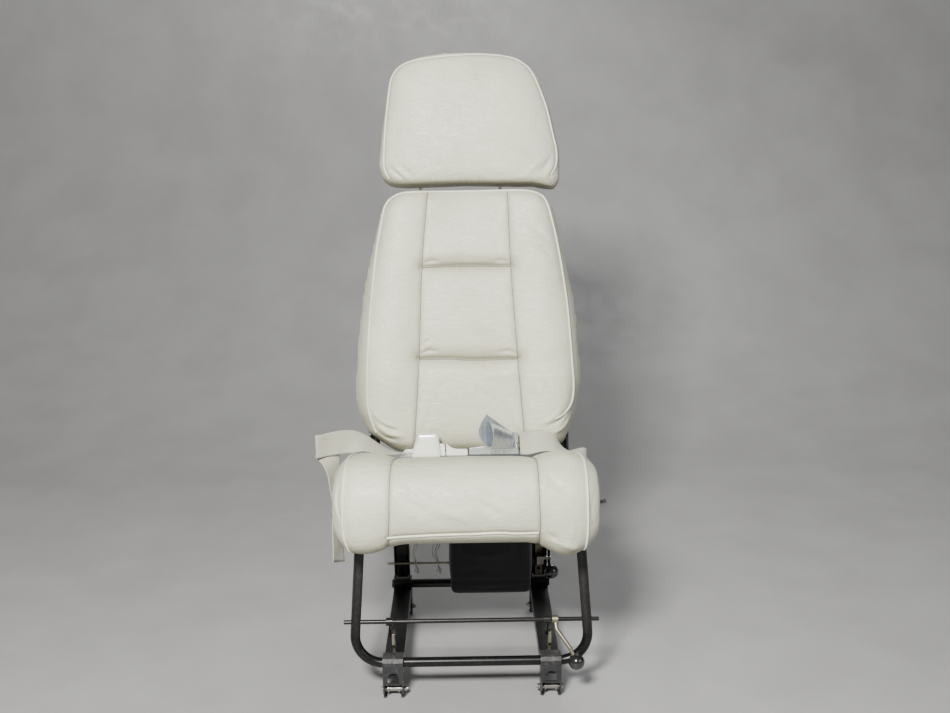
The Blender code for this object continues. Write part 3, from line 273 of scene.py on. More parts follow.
leather.links.new(add_up(leather, shine, times(leather, seam, 0.2)), wanted["Roughness"])
print("leather colour and roughness:", len(leather.nodes), "boxes")

# %% [markdown]
# The same group also gives a height. It isn't a picture of bumps but a number for each point: pebbles and
# pores stand up by a little, and the creases go down. A Bump box in the material turns it into relief.

# %% Leather height
bumps = times(leather, add_up(leather, pebble, times(leather, pores, 0.4)), 0.35)
bumps = times(leather, bumps, given["Grain"])
crease_b = noise(leather, stretched(leather, where, (7.0, 9.0, 16.0)), 1.3, 4.0, 0.5, 1.6)
fold_line = calc(leather, "ABSOLUTE", calc(leather, "SUBTRACT", crease_b, 0.5))
wrinkle = spread(leather, fold_line, 0.0, 0.09, 1.0, 0.0)
wrinkles = add_up(leather, times(leather, crease, 0.7), times(leather, wrinkle, 1.5))
leather.links.new(calc(leather, "SUBTRACT", bumps, wrinkles), wanted["Height"])
print("leather group:", len(leather.nodes), "boxes")

# %% [markdown]
# ## Paint and plated metal
# Paint chips where metal rubs on metal. `worn_metal` starts from a coat colour and lets a bare metal
# colour through on raised edges (the Geometry box's pointiness) and along thin scratches, which are
# noise drawn out to about twenty times its width. Dust sits in broad, weak patches.

# %% Worn metal group
worn_metal, given, wanted = new_group(
    "worn_metal",
    [("Colour", "Color", (0.02, 0.02, 0.02, 1)), ("Bare", "Color", (0.3, 0.29, 0.27, 1)),
     ("Wear", "Float", 0.3), ("Gloss", "Float", 0.35), ("Dust", "Float", 0.2)],
    FINISH,
)
where = box_of(worn_metal, "TexCoord", 3)
grit = noise(worn_metal, where, 160.0, 6.0, 0.7)
blotch = noise(worn_metal, where, 28.0, 5.0, 0.6)
across = noise(worn_metal, stretched(worn_metal, where, (40.0, 900.0, 700.0)), 1.0, 3.0)
along = noise(worn_metal, stretched(worn_metal, where, (900.0, 60.0, 50.0)), 1.0, 3.0)
scratch_a, scratch_b = spread(worn_metal, across, 0.70, 0.76), spread(worn_metal, along, 0.71, 0.77)
scratch = calc(worn_metal, "MAXIMUM", scratch_a, scratch_b)
point = box_of(worn_metal, "NewGeometry", 7)
edge = spread(worn_metal, add_up(worn_metal, point, times(worn_metal, grit, 0.14)), 0.60, 0.68)
flake = spread(worn_metal, add_up(worn_metal, grit, blotch), 1.18, 1.30)
rubbed = calc(worn_metal, "MAXIMUM", calc(worn_metal, "MAXIMUM", scratch, edge), flake)
bare = times(worn_metal, rubbed, given["Wear"])
coat = mix(worn_metal, spread(worn_metal, blotch, 0.3, 0.7, 0.0, 0.35), given["Colour"],
           mix(worn_metal, 1.0, given["Colour"], (1.7, 1.65, 1.55, 1), "MULTIPLY"))
chipped = mix(worn_metal, bare, coat, given["Bare"])
dust = times(worn_metal, spread(worn_metal, blotch, 0.45, 0.8), given["Dust"])
worn_metal.links.new(mix(worn_metal, dust, chipped, (0.33, 0.31, 0.28, 1)), wanted["Colour"])
rough = add_up(worn_metal, given["Gloss"], times(worn_metal, grit, 0.16))
worn_metal.links.new(add_up(worn_metal, rough, times(worn_metal, dust, 0.5)), wanted["Roughness"])
worn_metal.links.new(calc(worn_metal, "SUBTRACT", grit, bare), wanted["Height"])
print("worn metal group:", len(worn_metal.nodes), "boxes")

# %% [markdown]
# ## Brushed metal
# Brushing leaves fine lines in one direction, so its noise is very long one way. A second, coarser
# noise of the same shape darkens some of the lines, as handling does.

# %% Brushed metal group
def times_each(tree, first, second):
    """Three numbers times three numbers."""
    return box_of(tree, "VectorMath", 0, {"operation": "MULTIPLY"}, i0=first, i1=second)


brushed, given, wanted = new_group(
    "brushed", [("Colour", "Color", (0.5, 0.5, 0.5, 1)), ("Lines", "Vector", (900.0, 900.0, 30.0))], FINISH
)
where = box_of(brushed, "TexCoord", 3)
fine = times_each(brushed, where, given["Lines"])
lines = noise(brushed, fine, 1.0, 4.0)
wide = times_each(brushed, where, times_each(brushed, given["Lines"], (0.16, 0.16, 0.3)))
streak = noise(brushed, wide, 1.0, 3.0)
tone = mix(brushed, spread(brushed, lines, 0.35, 0.65), (0.80, 0.80, 0.80, 1), (1.1, 1.1, 1.1, 1))
deep = mix(brushed, spread(brushed, streak, 0.50, 0.68, 0.0, 0.55), tone, (0.42, 0.43, 0.46, 1))
brushed.links.new(mix(brushed, 1.0, given["Colour"], deep, "MULTIPLY"), wanted["Colour"])
brushed.links.new(spread(brushed, streak, 0.3, 0.7, 0.22, 0.42), wanted["Roughness"])
brushed.links.new(lines, wanted["Height"])
print("brushed group:", len(brushed.nodes), "boxes")

# %% [markdown]
# ## Woven cloth
# Webbing and fabric are woven: two sets of waves cross, and the height goes up where a thread passes
# over. Webbing carries its own flat map (across, along), so that its ribs follow every bend of the belt.

# %% Woven cloth group
FULL_TURN = 6.2832
woven, given, wanted = new_group(
    "woven",
    [("Colour", "Color", (0.5, 0.5, 0.45, 1)), ("Dark", "Color", (0.3, 0.3, 0.26, 1)),
     ("Threads", "Vector", (22.0, 190.0, 0.0)), ("Mapped", "Float", 1.0)],
    FINISH,
)
flat = box_of(woven, "TexCoord", 2)
place = box_of(woven, "VectorMath", 0, {"operation": "SCALE"}, i0=box_of(woven, "TexCoord", 3), Scale=6.0)
pick = box_of(woven, "Mix", 1, {"data_type": "VECTOR"}, i0=given["Mapped"], i4=place, i5=flat)
counted = times_each(woven, pick, given["Threads"])
split = woven.nodes.new("ShaderNodeSeparateXYZ")
woven.links.new(counted, split.inputs[0])
warp = calc(woven, "SINE", times(woven, split.outputs[0], FULL_TURN))
up_or_in = add_up(woven, split.outputs[1], split.outputs[2])
weft = calc(woven, "SINE", times(woven, up_or_in, FULL_TURN))
thread = spread(woven, times(woven, warp, weft), -1.0, 1.0)
fuzz = noise(woven, box_of(woven, "TexCoord", 3), 700.0, 3.0)
wash = noise(woven, box_of(woven, "TexCoord", 3), 16.0, 4.0)
shade = times(woven, add_up(woven, thread, fuzz), 0.5)
body_tone = mix(woven, spread(woven, shade, 0.2, 0.8), given["Dark"], given["Colour"])
washed = mix(woven, spread(woven, wash, 0.5, 0.8, 0.0, 0.35), body_tone, given["Dark"])
woven.links.new(washed, wanted["Colour"])
woven.links.new(spread(woven, fuzz, 0.3, 0.7, 0.72, 0.92), wanted["Roughness"])
woven.links.new(shade, wanted["Height"])
print("shader groups:", ", ".join(group.name for group in bpy.data.node_groups))

# %% [markdown]
# ## The materials
# Each material is a group plugged into a Principled shader, with a Bump box for the height. What is
# the same all over a surface (how metallic it is, how much clear coat it has) is set straight on the
# shader. The names match the finishes of the solid model.

# %% From a group to a material
LOOKS = {}


def surface(name, group, bump, distance=0.0004, metallic=0.0, coat=0.0, sheen=0.0, mirror=0.5, **dials):
    made = bpy.data.materials.new("look_" + name)
    made.use_nodes = True
    tree = made.node_tree
    shader = tree.nodes["Principled BSDF"]
    outputs = use_group(tree, group, **dials)
    tree.links.new(outputs["Colour"], shader.inputs["Base Color"])
    tree.links.new(outputs["Roughness"], shader.inputs["Roughness"])
    bumped = box_of(tree, "Bump", 0, (), Strength=bump, Distance=distance, Height=outputs["Height"])
    tree.links.new(bumped, shader.inputs["Normal"])
    shader.inputs["Metallic"].default_value = metallic
    shader.inputs["Coat Weight"].default_value = coat
    shader.inputs["Coat Roughness"].default_value = 0.18
    shader.inputs["Sheen Weight"].default_value = sheen
    shader.inputs["Specular IOR Level"].default_value = mirror
    LOOKS[name] = made


surface("floor", leather, 0.05, 0.001, Colour=(0.36, 0.36, 0.36, 1), Soil=0.0, Grain=0.3)
floor.data.materials.append(LOOKS["floor"])
print("first material:", *LOOKS)

# %% [markdown]
# ## Hard materials
# Paint is nearly black, with a little of the metal showing through. The grey paint of the roller
# housings is the most worn. The plated levers are olive, the fittings of the belt are bright.

# %% Hard materials
surface(
    "black_paint", worn_metal, 0.20, coat=0.05, mirror=0.25, Colour=(0.0035, 0.0035, 0.004, 1),
    Bare=(0.10, 0.095, 0.085, 1), Wear=0.24, Gloss=0.24, Dust=0.012
)
surface(
    "worn_grey_paint", worn_metal, 0.5, metallic=0.25, mirror=0.4, Colour=(0.024, 0.024, 0.026, 1),
    Bare=(0.26, 0.255, 0.24, 1), Wear=0.62, Gloss=0.28, Dust=0.03
)
surface(
    "bright_steel", worn_metal, 0.3, metallic=1.0, Colour=(0.34, 0.33, 0.31, 1),
    Bare=(0.60, 0.59, 0.57, 1), Wear=0.5, Gloss=0.24, Dust=0.12
)
surface(
    "olive_plating", worn_metal, 0.3, metallic=0.85, Colour=(0.20, 0.185, 0.13, 1),
    Bare=(0.34, 0.32, 0.27, 1), Wear=0.5, Gloss=0.28, Dust=0.12
)
surface(
    "satin_steel", brushed, 0.12, 0.0002, metallic=0.9, Colour=(0.72, 0.77, 0.84, 1),
    Lines=(900.0, 900.0, 30.0)
)
surface(
    "bright_cover", worn_metal, 0.10, 0.0002, metallic=0.35, coat=0.5, Colour=(0.84, 0.85, 0.86, 1),
    Bare=(0.62, 0.63, 0.65, 1), Wear=0.35, Gloss=0.14, Dust=0.04
)
surface(
    "post_wire", worn_metal, 0.2, metallic=0.2, Colour=(0.86, 0.83, 0.70, 1),
    Bare=(0.75, 0.73, 0.66, 1), Wear=0.4, Gloss=0.20, Dust=0.05
)
surface(
    "aluminium", worn_metal, 0.3, metallic=0.9, Colour=(0.28, 0.285, 0.29, 1),
    Bare=(0.45, 0.45, 0.45, 1), Wear=0.4, Gloss=0.32, Dust=0.15
)
surface(
    "black_ball", worn_metal, 0.08, coat=0.8, Colour=(0.006, 0.006, 0.007, 1),
    Bare=(0.05, 0.05, 0.05, 1), Wear=0.25, Gloss=0.08, Dust=0.03
)
print("hard materials:", len(LOOKS))

# %% [markdown]
# ## Soft materials
# Soft finishes come next. Leather is pale and slightly green-grey here, the piping is a little lighter,
# and the thread in the seams is dark, a painted shade of the seam's groove. The webbing's map counts its
# threads; cotton and black fabric have no map and count them in space.

# %% Soft materials
surface("cream_leather", leather, 0.45, 0.0006, Colour=(0.640, 0.645, 0.500, 1), Soil=0.30)
surface("piping", leather, 0.20, 0.0003, Colour=(0.740, 0.740, 0.610, 1), Soil=0.10, Grain=0.6)
# painted shade: the seam thread is made dark for the shade in the seam's groove
surface("thread", leather, 0.20, 0.0003, Colour=(0.17, 0.16, 0.13, 1), Soil=0.0, Grain=0.5)
surface(
    "cream_webbing", woven, 0.55, 0.0006, sheen=0.15, Colour=(0.54, 0.54, 0.44, 1),
    Dark=(0.34, 0.335, 0.26, 1), Threads=(13.0, 420.0, 0.0)
)
surface(
    "cotton", woven, 0.6, 0.0004, sheen=0.3, Colour=(0.56, 0.52, 0.42, 1), Dark=(0.32, 0.29, 0.22, 1),
    Threads=(60.0, 60.0, 60.0), Mapped=0.0
)
surface(
    "black_fabric", woven, 0.6, 0.0006, sheen=0.2, Colour=(0.008, 0.008, 0.009, 1),
    Dark=(0.003, 0.004, 0.005, 1), Threads=(110.0, 0.0, 110.0), Mapped=0.0
)
surface("grey_back_panel", leather, 0.30, 0.0004, Colour=(0.40, 0.39, 0.35, 1), Soil=0.3)
print("materials:", len(LOOKS))

# %% [markdown]
# ## Dressing the solid pieces
# A machined or bent piece has no knife-sharp edges. Each solid piece keeps its own points and gets
# two modifiers: Weld closes the seams that the file format left, and Bevel rounds each sharp edge by
# half a millimetre, which is what catches the light. Then the piece takes the material of its finish.

# %% Dress the solid pieces
def dress(item, finish, rounding=0.0005):
    custom = item.data.attributes.get("custom_normal")
    if custom:
        item.data.attributes.remove(custom)
    item.data.polygons.foreach_set("use_smooth", [True] * len(item.data.polygons))
    weld = item.modifiers.new("weld", "WELD")
    weld.merge_threshold = 1e-5
    bevel = item.modifiers.new("rounding", "BEVEL")
    bevel.width, bevel.segments = rounding, 2
    bevel.limit_method, bevel.angle_limit = "ANGLE", math.radians(40)
    bevel.harden_normals = True
    item.data.materials.clear()
    item.data.materials.append(LOOKS[finish])


def finish_of(item):
    name = item.data.materials[0].name.split(".")[0] if item.data.materials else ""
    return name if name in LOOKS else "bright_steel"


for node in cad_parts.values():
    dress(node, finish_of(node))
print("dressed", len(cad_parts), "solid pieces")

# %% [markdown]
# ## Curves and skins
# Soft pieces are drawn as sections: closed lines that follow one another along the piece. `through`
# runs a smooth curve through a few points and gives back as many as wanted, and `skin` stretches a
# surface over the sections.

# %% Curves and skins
def through(points, count, closed=False):
    """Evenly numbered points on a smooth curve through the given ones."""
    spots = np.array([tuple(point) for point in points], float)
    total = len(spots) if closed else len(spots) - 1
    made = []
    for step in np.linspace(0, total, count, endpoint=not closed):
        at = min(int(step), total - 1)
        t = step - at
        if closed:
            a, b, c, d = (spots[(at + k) % total] for k in (-1, 0, 1, 2))
        else:
            b, c = spots[at], spots[at + 1]
            a = spots[at - 1] if at else 2 * b - c
            d = spots[at + 2] if at + 2 <= total else 2 * c - b
        bend, twist = 2 * a - 5 * b + 4 * c - d, 3 * b - a - 3 * c + d
        made.append(0.5 * (2 * b + (c - a) * t + bend * t**2 + twist * t**3))
    return np.array(made)


def skin(rings, place):
    """A closed surface over rings of points, in the axes of place."""
    count = len(rings[0])
    points = [place @ Vector(point) for ring in rings for point in ring]
    faces = []
    for low in range(0, (len(rings) - 1) * count, count):
        for i in range(count):
            after = (i + 1) % count
            faces.append((low + i, low + after, low + count + after, low + count + i))
    faces += [tuple(range(count)), tuple((len(rings) - 1) * count + i for i in range(count))]
    builder = bmesh.new()
    spots = [builder.verts.new(point) for point in points]
    for face in faces:
        builder.faces.new([spots[i] for i in face])
    bmesh.ops.recalc_face_normals(builder, faces=builder.faces)
    data = bpy.data.meshes.new("skin")
    builder.to_mesh(data)
    builder.free()
    return data


arch = through([(0, 0, 0), (1, 1, 0), (2, 0, 0)], 5)
print("heights along a small arch:", [round(float(y), 3) for _, y, _ in arch])

# %% [markdown]
# ## Even cells
# `remade` rebuilds a skin from small even cells, because cloth only folds well when its cells are even.
# The other helpers here read and write all the points of a mesh at once, which is many times faster
# than one by one.

# %% Mesh helpers
def applied(data, kind, **settings):
    """The mesh after one modifier."""
    helper = new_object("helper", data)
    step = helper.modifiers.new("step", kind)
    for key, value in settings.items():
        setattr(step, key, value)
    bpy.context.view_layer.update()
    graph = bpy.context.evaluated_depsgraph_get()
    made = bpy.data.meshes.new_from_object(helper.evaluated_get(graph))
    bpy.data.objects.remove(helper)
    return made


def remade(data, cell):
    even = applied(data, "REMESH", mode="VOXEL", voxel_size=cell)
    return applied(even, "SMOOTH", factor=0.6, iterations=4)


def spots_of(data):
    flat_list = np.empty(len(data.vertices) * 3)
    data.vertices.foreach_get("co", flat_list)
    return flat_list.reshape(-1, 3)


def normals_of(data):
    flat_list = np.empty(len(data.vertices) * 3, np.float32)
    data.vertex_normals.foreach_get("vector", flat_list)
    return flat_list.reshape(-1, 3).astype(float)


def put_spots(data, spots):
    data.vertices.foreach_set("co", np.ascontiguousarray(spots).ravel())
    data.update()


print("points read at once from the floor:", len(spots_of(floor.data)))

# %% [markdown]
# ## Lines on a soft surface
# A seam, a fold or a cord of piping is a line that lies on the cushion. It is drawn on the plane that
# is easiest to see (the front of the back, say) and then pressed onto the surface with a ray. `near`
# tells how far every point of the mesh is from such lines; that distance decides where the leather is
# held, pulled in or darkened.

# %% Lines pressed on a surface
FRONT = (0, 1, 0)  # the way a ray goes from the front


def ray_tree(data):
    return BVHTree.FromPolygons([v.co for v in data.vertices], [p.vertices for p in data.polygons])


def pressed(data, place, points, towards, count=60):
    """Points on the surface where rays from a drawn line hit it."""
    tree = ray_tree(data)
    direction = (place.to_3x3() @ Vector(towards)).normalized()
    found = []
    for point in through(points, count):
        hit = tree.ray_cast(place @ Vector(point) - direction * 0.5, direction)[0]
        if hit:
            found.append(hit)
    return found


def dense(line, gap=0.0015):
    """A line with a point at least every gap."""
    made = []
    for a, b in zip(line, line[1:]):
        steps = max(1, math.ceil((b - a).length / gap))
        made += [a.lerp(b, i / steps) for i in range(steps)]
    return made + [line[-1]]


def near(data, lines, ends=False):
    """The distance of each mesh point to the nearest line, and how far along that line it is, 0 to 1."""
    samples = [(spot, i / max(1, len(full) - 1)) for full in map(dense, lines) for i, spot in enumerate(full)]
    tree = KDTree(len(samples))
    for i, (spot, _) in enumerate(samples):
        tree.insert(spot, i)
    tree.balance()
    found = [tree.find(v.co) for v in data.vertices]
    distance = np.array([item[2] for item in found])
    along_line = np.array([samples[item[1]][1] for item in found])
    return (distance, along_line) if ends else distance


def bell(distance, width):
    return np.exp(-((distance / width) ** 2))


def kept_between(value, low, high):
    return max(low, min(high, value))


print("a bell 4 mm wide, 4 mm away:", round(float(bell(0.004, 0.004)), 3))

# %% [markdown]
# ## Blowing a cushion up
# The cover of a cushion is tight over foam and held along its seams. That is what the cloth solver is
# given here: a skin, a little air pressure from inside, no gravity, and seams that can't move. Twenty
# short steps are enough. Every point may then move only a few millimetres from the drawing, so that the
# cushion stays the size it should be and yet gets soft, uneven wrinkles that nobody could draw.

# %% Pressure
CLOTH_STEPS = 20


def blown(data, held, pressure, most, stiffness=14.0):
    helper = new_object("cloth_helper", data)
    group = helper.vertex_groups.new(name="held")
    for index, weight in enumerate(held):
        if weight > 0.02:
            group.add([index], float(weight), "REPLACE")
    cloth = helper.modifiers.new("cloth", "CLOTH")
    settings = cloth.settings
    settings.quality, settings.mass = 5, 0.25
    settings.tension_stiffness = settings.compression_stiffness = stiffness
    settings.shear_stiffness, settings.bending_stiffness = stiffness / 3, 0.3
    settings.vertex_group_mass = "held"
    settings.use_pressure, settings.uniform_pressure_force = True, pressure
    settings.effector_weights.gravity = 0
    cloth.point_cache.frame_start, cloth.point_cache.frame_end = 1, CLOTH_STEPS
    for number in range(1, CLOTH_STEPS + 1):
        bpy.context.scene.frame_set(number)
    graph = bpy.context.evaluated_depsgraph_get()
    moved = bpy.data.meshes.new_from_object(helper.evaluated_get(graph))
    bpy.data.objects.remove(helper)
    bpy.context.scene.frame_set(1)
    start = spots_of(data)
    step = spots_of(moved) - start
    length = np.linalg.norm(step, axis=1, keepdims=True)
    print("  cloth moved up to", round(float(length.max()) * 1000, 1), "mm, kept to", most * 1000)
    put_spots(data, start + step * np.minimum(1, most / np.maximum(length, 1e-9)))

# %% [markdown]
# ## Seams, tufts and folds
# The blown cushion is then finished. `stitched` pulls the seams in, sinks the short tuft seams deep
# so that the panels between them stand out like pillows, and presses the drawn folds. It also writes
# down, for every point, how near a seam it is and how much it faces down, for the leather group's painted
# shade.

# %% Seams, tufts and folds
SEAM_DEPTH, SEAM_WIDTH = 0.0030, 0.0042


def stitched(data, seams, folds, depth=SEAM_DEPTH, width=SEAM_WIDTH, tufts=(), dark=0.40):
    """Pull the seams in, press the folds, and note the seams and undersides for the painted shade in the
    leather's colour.
    """
    data = applied(data, "SUBSURF", levels=1, render_levels=1)
    spots, outward = spots_of(data), normals_of(data)
    distance = near(data, [*seams, *tufts])
    push = -depth * bell(distance, width)
    if tufts:
        away = near(data, tufts)
        push -= 0.0080 * bell(away, 0.018) + 0.0040 * bell(away, 0.0055)
    for line, high, wide in folds:
        away, share = near(data, [line], ends=True)
        push += high * bell(away, wide) * np.sin(np.pi * np.clip(share, 0.02, 0.98)) ** 0.7
    put_spots(data, spots + outward * push[:, None])
    # painted shade: the seam and tuft grooves are marked dark for the leather's colour
    mark = data.attributes.new("seam", "FLOAT", "POINT")
    mark.data.foreach_set("value", (dark * bell(distance, 0.0026)).astype(np.float32))
    # painted shade: points that face down, and the leather beside seams, are marked darker
    facing_down = np.clip((0.12 - normals_of(data)[:, 2]) / 0.75, 0, 1)
    shade_weight = 0.78 * facing_down**1.25 + 0.14 * bell(distance, 0.012)
    mark = data.attributes.new("painted_shade", "FLOAT", "POINT")
    mark.data.foreach_set("value", shade_weight.astype(np.float32))
    data.polygons.foreach_set("use_smooth", [True] * len(data.polygons))
    return data


print("a seam is", SEAM_WIDTH * 1000, "mm wide and", SEAM_DEPTH * 1000, "mm deep")

# %% [markdown]
# ## Piping and threads
# Piping is a cord sewn in a seam, so it stands up from the leather: a round curve that is laid on the
# surface and smoothed a little. The thread at the bottom of a seam is the same thing, thinner, and dark
# as painted shade of the seam's groove.

# %% Piping, threads and soft pieces
def piping(name, data, line, body, radius=0.0021, sunk=0.0006, finish="piping"):
    """A sewn cord that stands on the surface along a line."""
    tree = ray_tree(data)
    curve = bpy.data.curves.new(name, "CURVE")
    curve.dimensions, curve.bevel_depth, curve.bevel_resolution = "3D", radius, 3
    curve.use_fill_caps = True
    spline = curve.splines.new("POLY")
    spots = []
    for spot in line:
        hit, facing = tree.find_nearest(spot)[:2]
        spots.append(hit + facing * (radius - sunk))
    for _ in range(3):
        inner = [(a + b * 2 + c) / 4 for a, b, c in zip(spots, spots[1:], spots[2:])]
        spots = [spots[0]] + inner + [spots[-1]]
    spline.points.add(len(spots) - 1)
    for point, spot in zip(spline.points, spots):
        point.co = (*spot, 1)
    spline.use_smooth = True
    item = new_object(name, curve)
    curve.materials.append(LOOKS[finish])
    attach(item, body)


def shaded_seam_threads(name, data, lines, body):
    """The thread down in each seam, where the two panels meet, made dark as painted shade of the groove."""
    for number, line in enumerate(lines):
        piping(f"{name}_seam_{number}", data, line, body, 0.0008, 0.0003, "thread")


def on_skin(data, line):
    tree = ray_tree(data)
    return [tree.find_nearest(spot)[0] for spot in line]


def soft_piece(name, data, finish, body, *nodes, fill=0.7):
    item = new_object(name, data)
    data.materials.clear()
    data.materials.append(LOOKS[finish])
    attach(item, body)
    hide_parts(*nodes)
    print(name, len(data.polygons), "faces")

# %% [markdown]
# ## The back cushion
# Seen from the front the cushion is widest near its foot and narrows to square shoulders. Each level
# section is flat behind, a little hollow in the middle and full at the sides. Two long seams and two
# short ones divide it in panels; a piped edge runs up both sides and over the top, and beyond it lies
# the boxing, the strip that makes the cushion thick. Its widths left and right are not the same,
# because the cover has been pulled over by years of use.

# %% Level sections
def read(table, value):
    return float(np.interp(value, [a for a, _ in table], [b for _, b in table]))


def two_sided(z, right, left, front, rear, count):
    """A level section. It is drawn once, as shares of its width, and has its own width at each side."""
    ring = []
    for side, reach in ((1, right), (-1, left)):
        half_ring = [(side * reach * share, y) for share, y in front + rear]
        ring += half_ring if side == 1 else [(0.0, rear[-1][1])] + list(reversed(half_ring[1:]))
    return [(x, y, z) for x, y, _ in through([(x, y, 0) for x, y in ring], count, closed=True)]


print("a section of 8:", len(two_sided(0, 1, 1, [(0, 0), (1, 0)], [(1, 1), (0.5, 1)], 8)), "points")

# %% [markdown]
# The tables give, for each height up the back, how far it reaches to the left and to the right and how
# full it is. They are read from the photograph and joined by straight lines; the rebuilt skin is smooth.

# %% Back cushion shape
LEFT_EDGE = [(0.052, 0.158), (0.070, 0.183), (0.095, 0.217), (0.139, 0.237), (0.167, 0.241), (0.220, 0.240),
             (0.305, 0.234), (0.416, 0.219), (0.526, 0.194), (0.585, 0.180), (0.606, 0.163), (0.617, 0.140)]
RIGHT_EDGE = [(0.052, 0.186), (0.068, 0.207), (0.095, 0.217), (0.142, 0.233), (0.203, 0.243), (0.280, 0.240),
              (0.366, 0.234), (0.464, 0.214), (0.540, 0.200), (0.585, 0.189), (0.606, 0.173), (0.617, 0.148)]
FULLNESS = [(0.052, 0.50), (0.072, 0.78), (0.095, 0.92), (0.140, 1.00), (0.220, 1.04), (0.350, 1.0),
            (0.440, 0.97), (0.520, 0.93), (0.585, 0.86), (0.606, 0.74), (0.617, 0.50)]
BACK_DEPTHS = [(0.0, 0.066), (0.20, 0.0665), (0.40, 0.0685), (0.55, 0.075), (0.72, 0.0815), (0.84, 0.0785),
               (0.905, 0.069), (0.96, 0.050), (0.99, 0.034), (1.0, 0.024)]
BACK_REAR = -0.0105


def back_section(z):
    full = read(FULLNESS, z)
    front = [(share, BACK_REAR - (depth - 0.0095) * full) for share, depth in BACK_DEPTHS]
    rear = [(0.985, BACK_REAR), (0.5, BACK_REAR)]
    return two_sided(z, read(RIGHT_EDGE, z), read(LEFT_EDGE, z), front, rear, 96)


def heights(*stretches):
    return [z for low, high, count in stretches for z in np.linspace(low, high, count)]


levels = heights((0.052, 0.10, 8), (0.115, 0.58, 24), (0.588, 0.617, 6))
back_skin = remade(skin([back_section(z) for z in levels], BACK), 0.006)
print("back skin:", len(back_skin.vertices), "points")

# %% [markdown]
# The seams and the piped edge are drawn on a flat sheet in front of the back and pressed onto it. They
# are what holds the leather while the air blows it up.

# %% Back seams, and the air
SEAM_LEFT = [(-0.081, 0.0, 0.612), (-0.095, 0.0, 0.451), (-0.104, 0.0, 0.254), (-0.117, 0.0, 0.060)]
SEAM_RIGHT = [(0.091, 0.0, 0.612), (0.096, 0.0, 0.450), (0.108, 0.0, 0.251), (0.122, 0.0, 0.060)]
TUFTS = [
    [(-0.094, 0, 0.4500), (-0.040, 0, 0.4525), (0.030, 0, 0.4520), (0.095, 0, 0.4505)],
    [(-0.104, 0, 0.2535), (-0.050, 0, 0.2525), (0.020, 0, 0.2495), (0.108, 0, 0.2505)],
]
PIPED_BACK = [
    (-0.198, 0, 0.098), (-0.209, 0, 0.130), (-0.215, 0, 0.170), (-0.213, 0, 0.249), (-0.207, 0, 0.343),
    (-0.193, 0, 0.480), (-0.182, 0, 0.544), (-0.172, 0, 0.588), (-0.152, 0, 0.606), (-0.120, 0, 0.613),
    (0.0, 0, 0.6145), (0.120, 0, 0.614), (0.158, 0, 0.607), (0.174, 0, 0.591), (0.187, 0, 0.545),
    (0.201, 0, 0.474), (0.215, 0, 0.369), (0.224, 0, 0.243), (0.227, 0, 0.190), (0.222, 0, 0.155),
    (0.205, 0, 0.133), (0.186, 0, 0.122),
]
seams_back = [pressed(back_skin, BACK, line, FRONT) for line in (SEAM_LEFT, SEAM_RIGHT, *TUFTS)]
piped_back = pressed(back_skin, BACK, PIPED_BACK, FRONT, 160)
inside_back = BACK.inverted()
depth_in_back = np.array([(inside_back @ v.co).y for v in back_skin.vertices])
on_frame = np.where(depth_in_back > -0.016, 1, 0)
held = np.maximum(bell(near(back_skin, seams_back + [piped_back]), 0.006), on_frame)
blown(back_skin, held, 3.2, 0.007)

# %% [markdown]
# ## Folds of the back
# Leather that has been pulled round a corner gathers. The lower corners of this back have a fan of
# short folds, each tuft seam puckers at its ends, and a few long, weak wrinkles run across the panels.
# Each row is one line of three points, its height (plus makes a ridge, minus a valley) and its width.

# %% Back folds, seams and piping
def pressed_folds(data, place, towards, drawn):
    return [(pressed(data, place, points, towards, 24), high, wide) for points, high, wide in drawn]


folds = [
    ([(-0.196, 0, 0.128), (-0.178, 0, 0.108), (-0.146, 0, 0.099)], -0.0040, 0.0046),
    ([(-0.192, 0, 0.116), (-0.172, 0, 0.096), (-0.140, 0, 0.088)], 0.0034, 0.0044),
    ([(-0.205, 0, 0.148), (-0.188, 0, 0.122), (-0.160, 0, 0.110)], 0.0022, 0.0045),
    ([(-0.204, 0, 0.108), (-0.180, 0, 0.086), (-0.150, 0, 0.078)], -0.0036, 0.0044),
    ([(0.214, 0, 0.142), (0.196, 0, 0.118), (0.168, 0, 0.104)], -0.0042, 0.0052),
    ([(0.222, 0, 0.128), (0.205, 0, 0.104), (0.178, 0, 0.088)], 0.0036, 0.0050),
    ([(0.200, 0, 0.146), (0.180, 0, 0.122), (0.150, 0, 0.110)], 0.0020, 0.0050),
    ([(-0.092, 0, 0.459), (-0.075, 0, 0.464), (-0.055, 0, 0.463)], -0.0028, 0.0040),
    ([(0.093, 0, 0.459), (0.076, 0, 0.463), (0.058, 0, 0.461)], -0.0022, 0.0040),
    ([(-0.101, 0, 0.263), (-0.085, 0, 0.271), (-0.062, 0, 0.270)], -0.0034, 0.0042),
    ([(-0.100, 0, 0.277), (-0.088, 0, 0.290), (-0.074, 0, 0.296)], -0.0024, 0.0045),
    ([(0.105, 0, 0.262), (0.088, 0, 0.268), (0.062, 0, 0.266)], -0.0026, 0.0042),
    ([(0.180, 0, 0.505), (0.150, 0, 0.530), (0.112, 0, 0.562)], -0.0030, 0.0080),
    ([(0.186, 0, 0.470), (0.166, 0, 0.486), (0.140, 0, 0.492)], -0.0028, 0.0060),
    ([(0.010, 0, 0.205), (0.030, 0, 0.180), (0.052, 0, 0.168)], -0.0020, 0.0060),
    ([(0.150, 0, 0.215), (0.170, 0, 0.180), (0.196, 0, 0.160)], -0.0022, 0.0070),
    ([(-0.04, 0, 0.395), (0.00, 0, 0.402), (0.04, 0, 0.396)], 0.0010, 0.0300),
]
folds = pressed_folds(back_skin, BACK, FRONT, folds)
back_data = stitched(back_skin, seams_back[:2], folds, tufts=seams_back[2:])
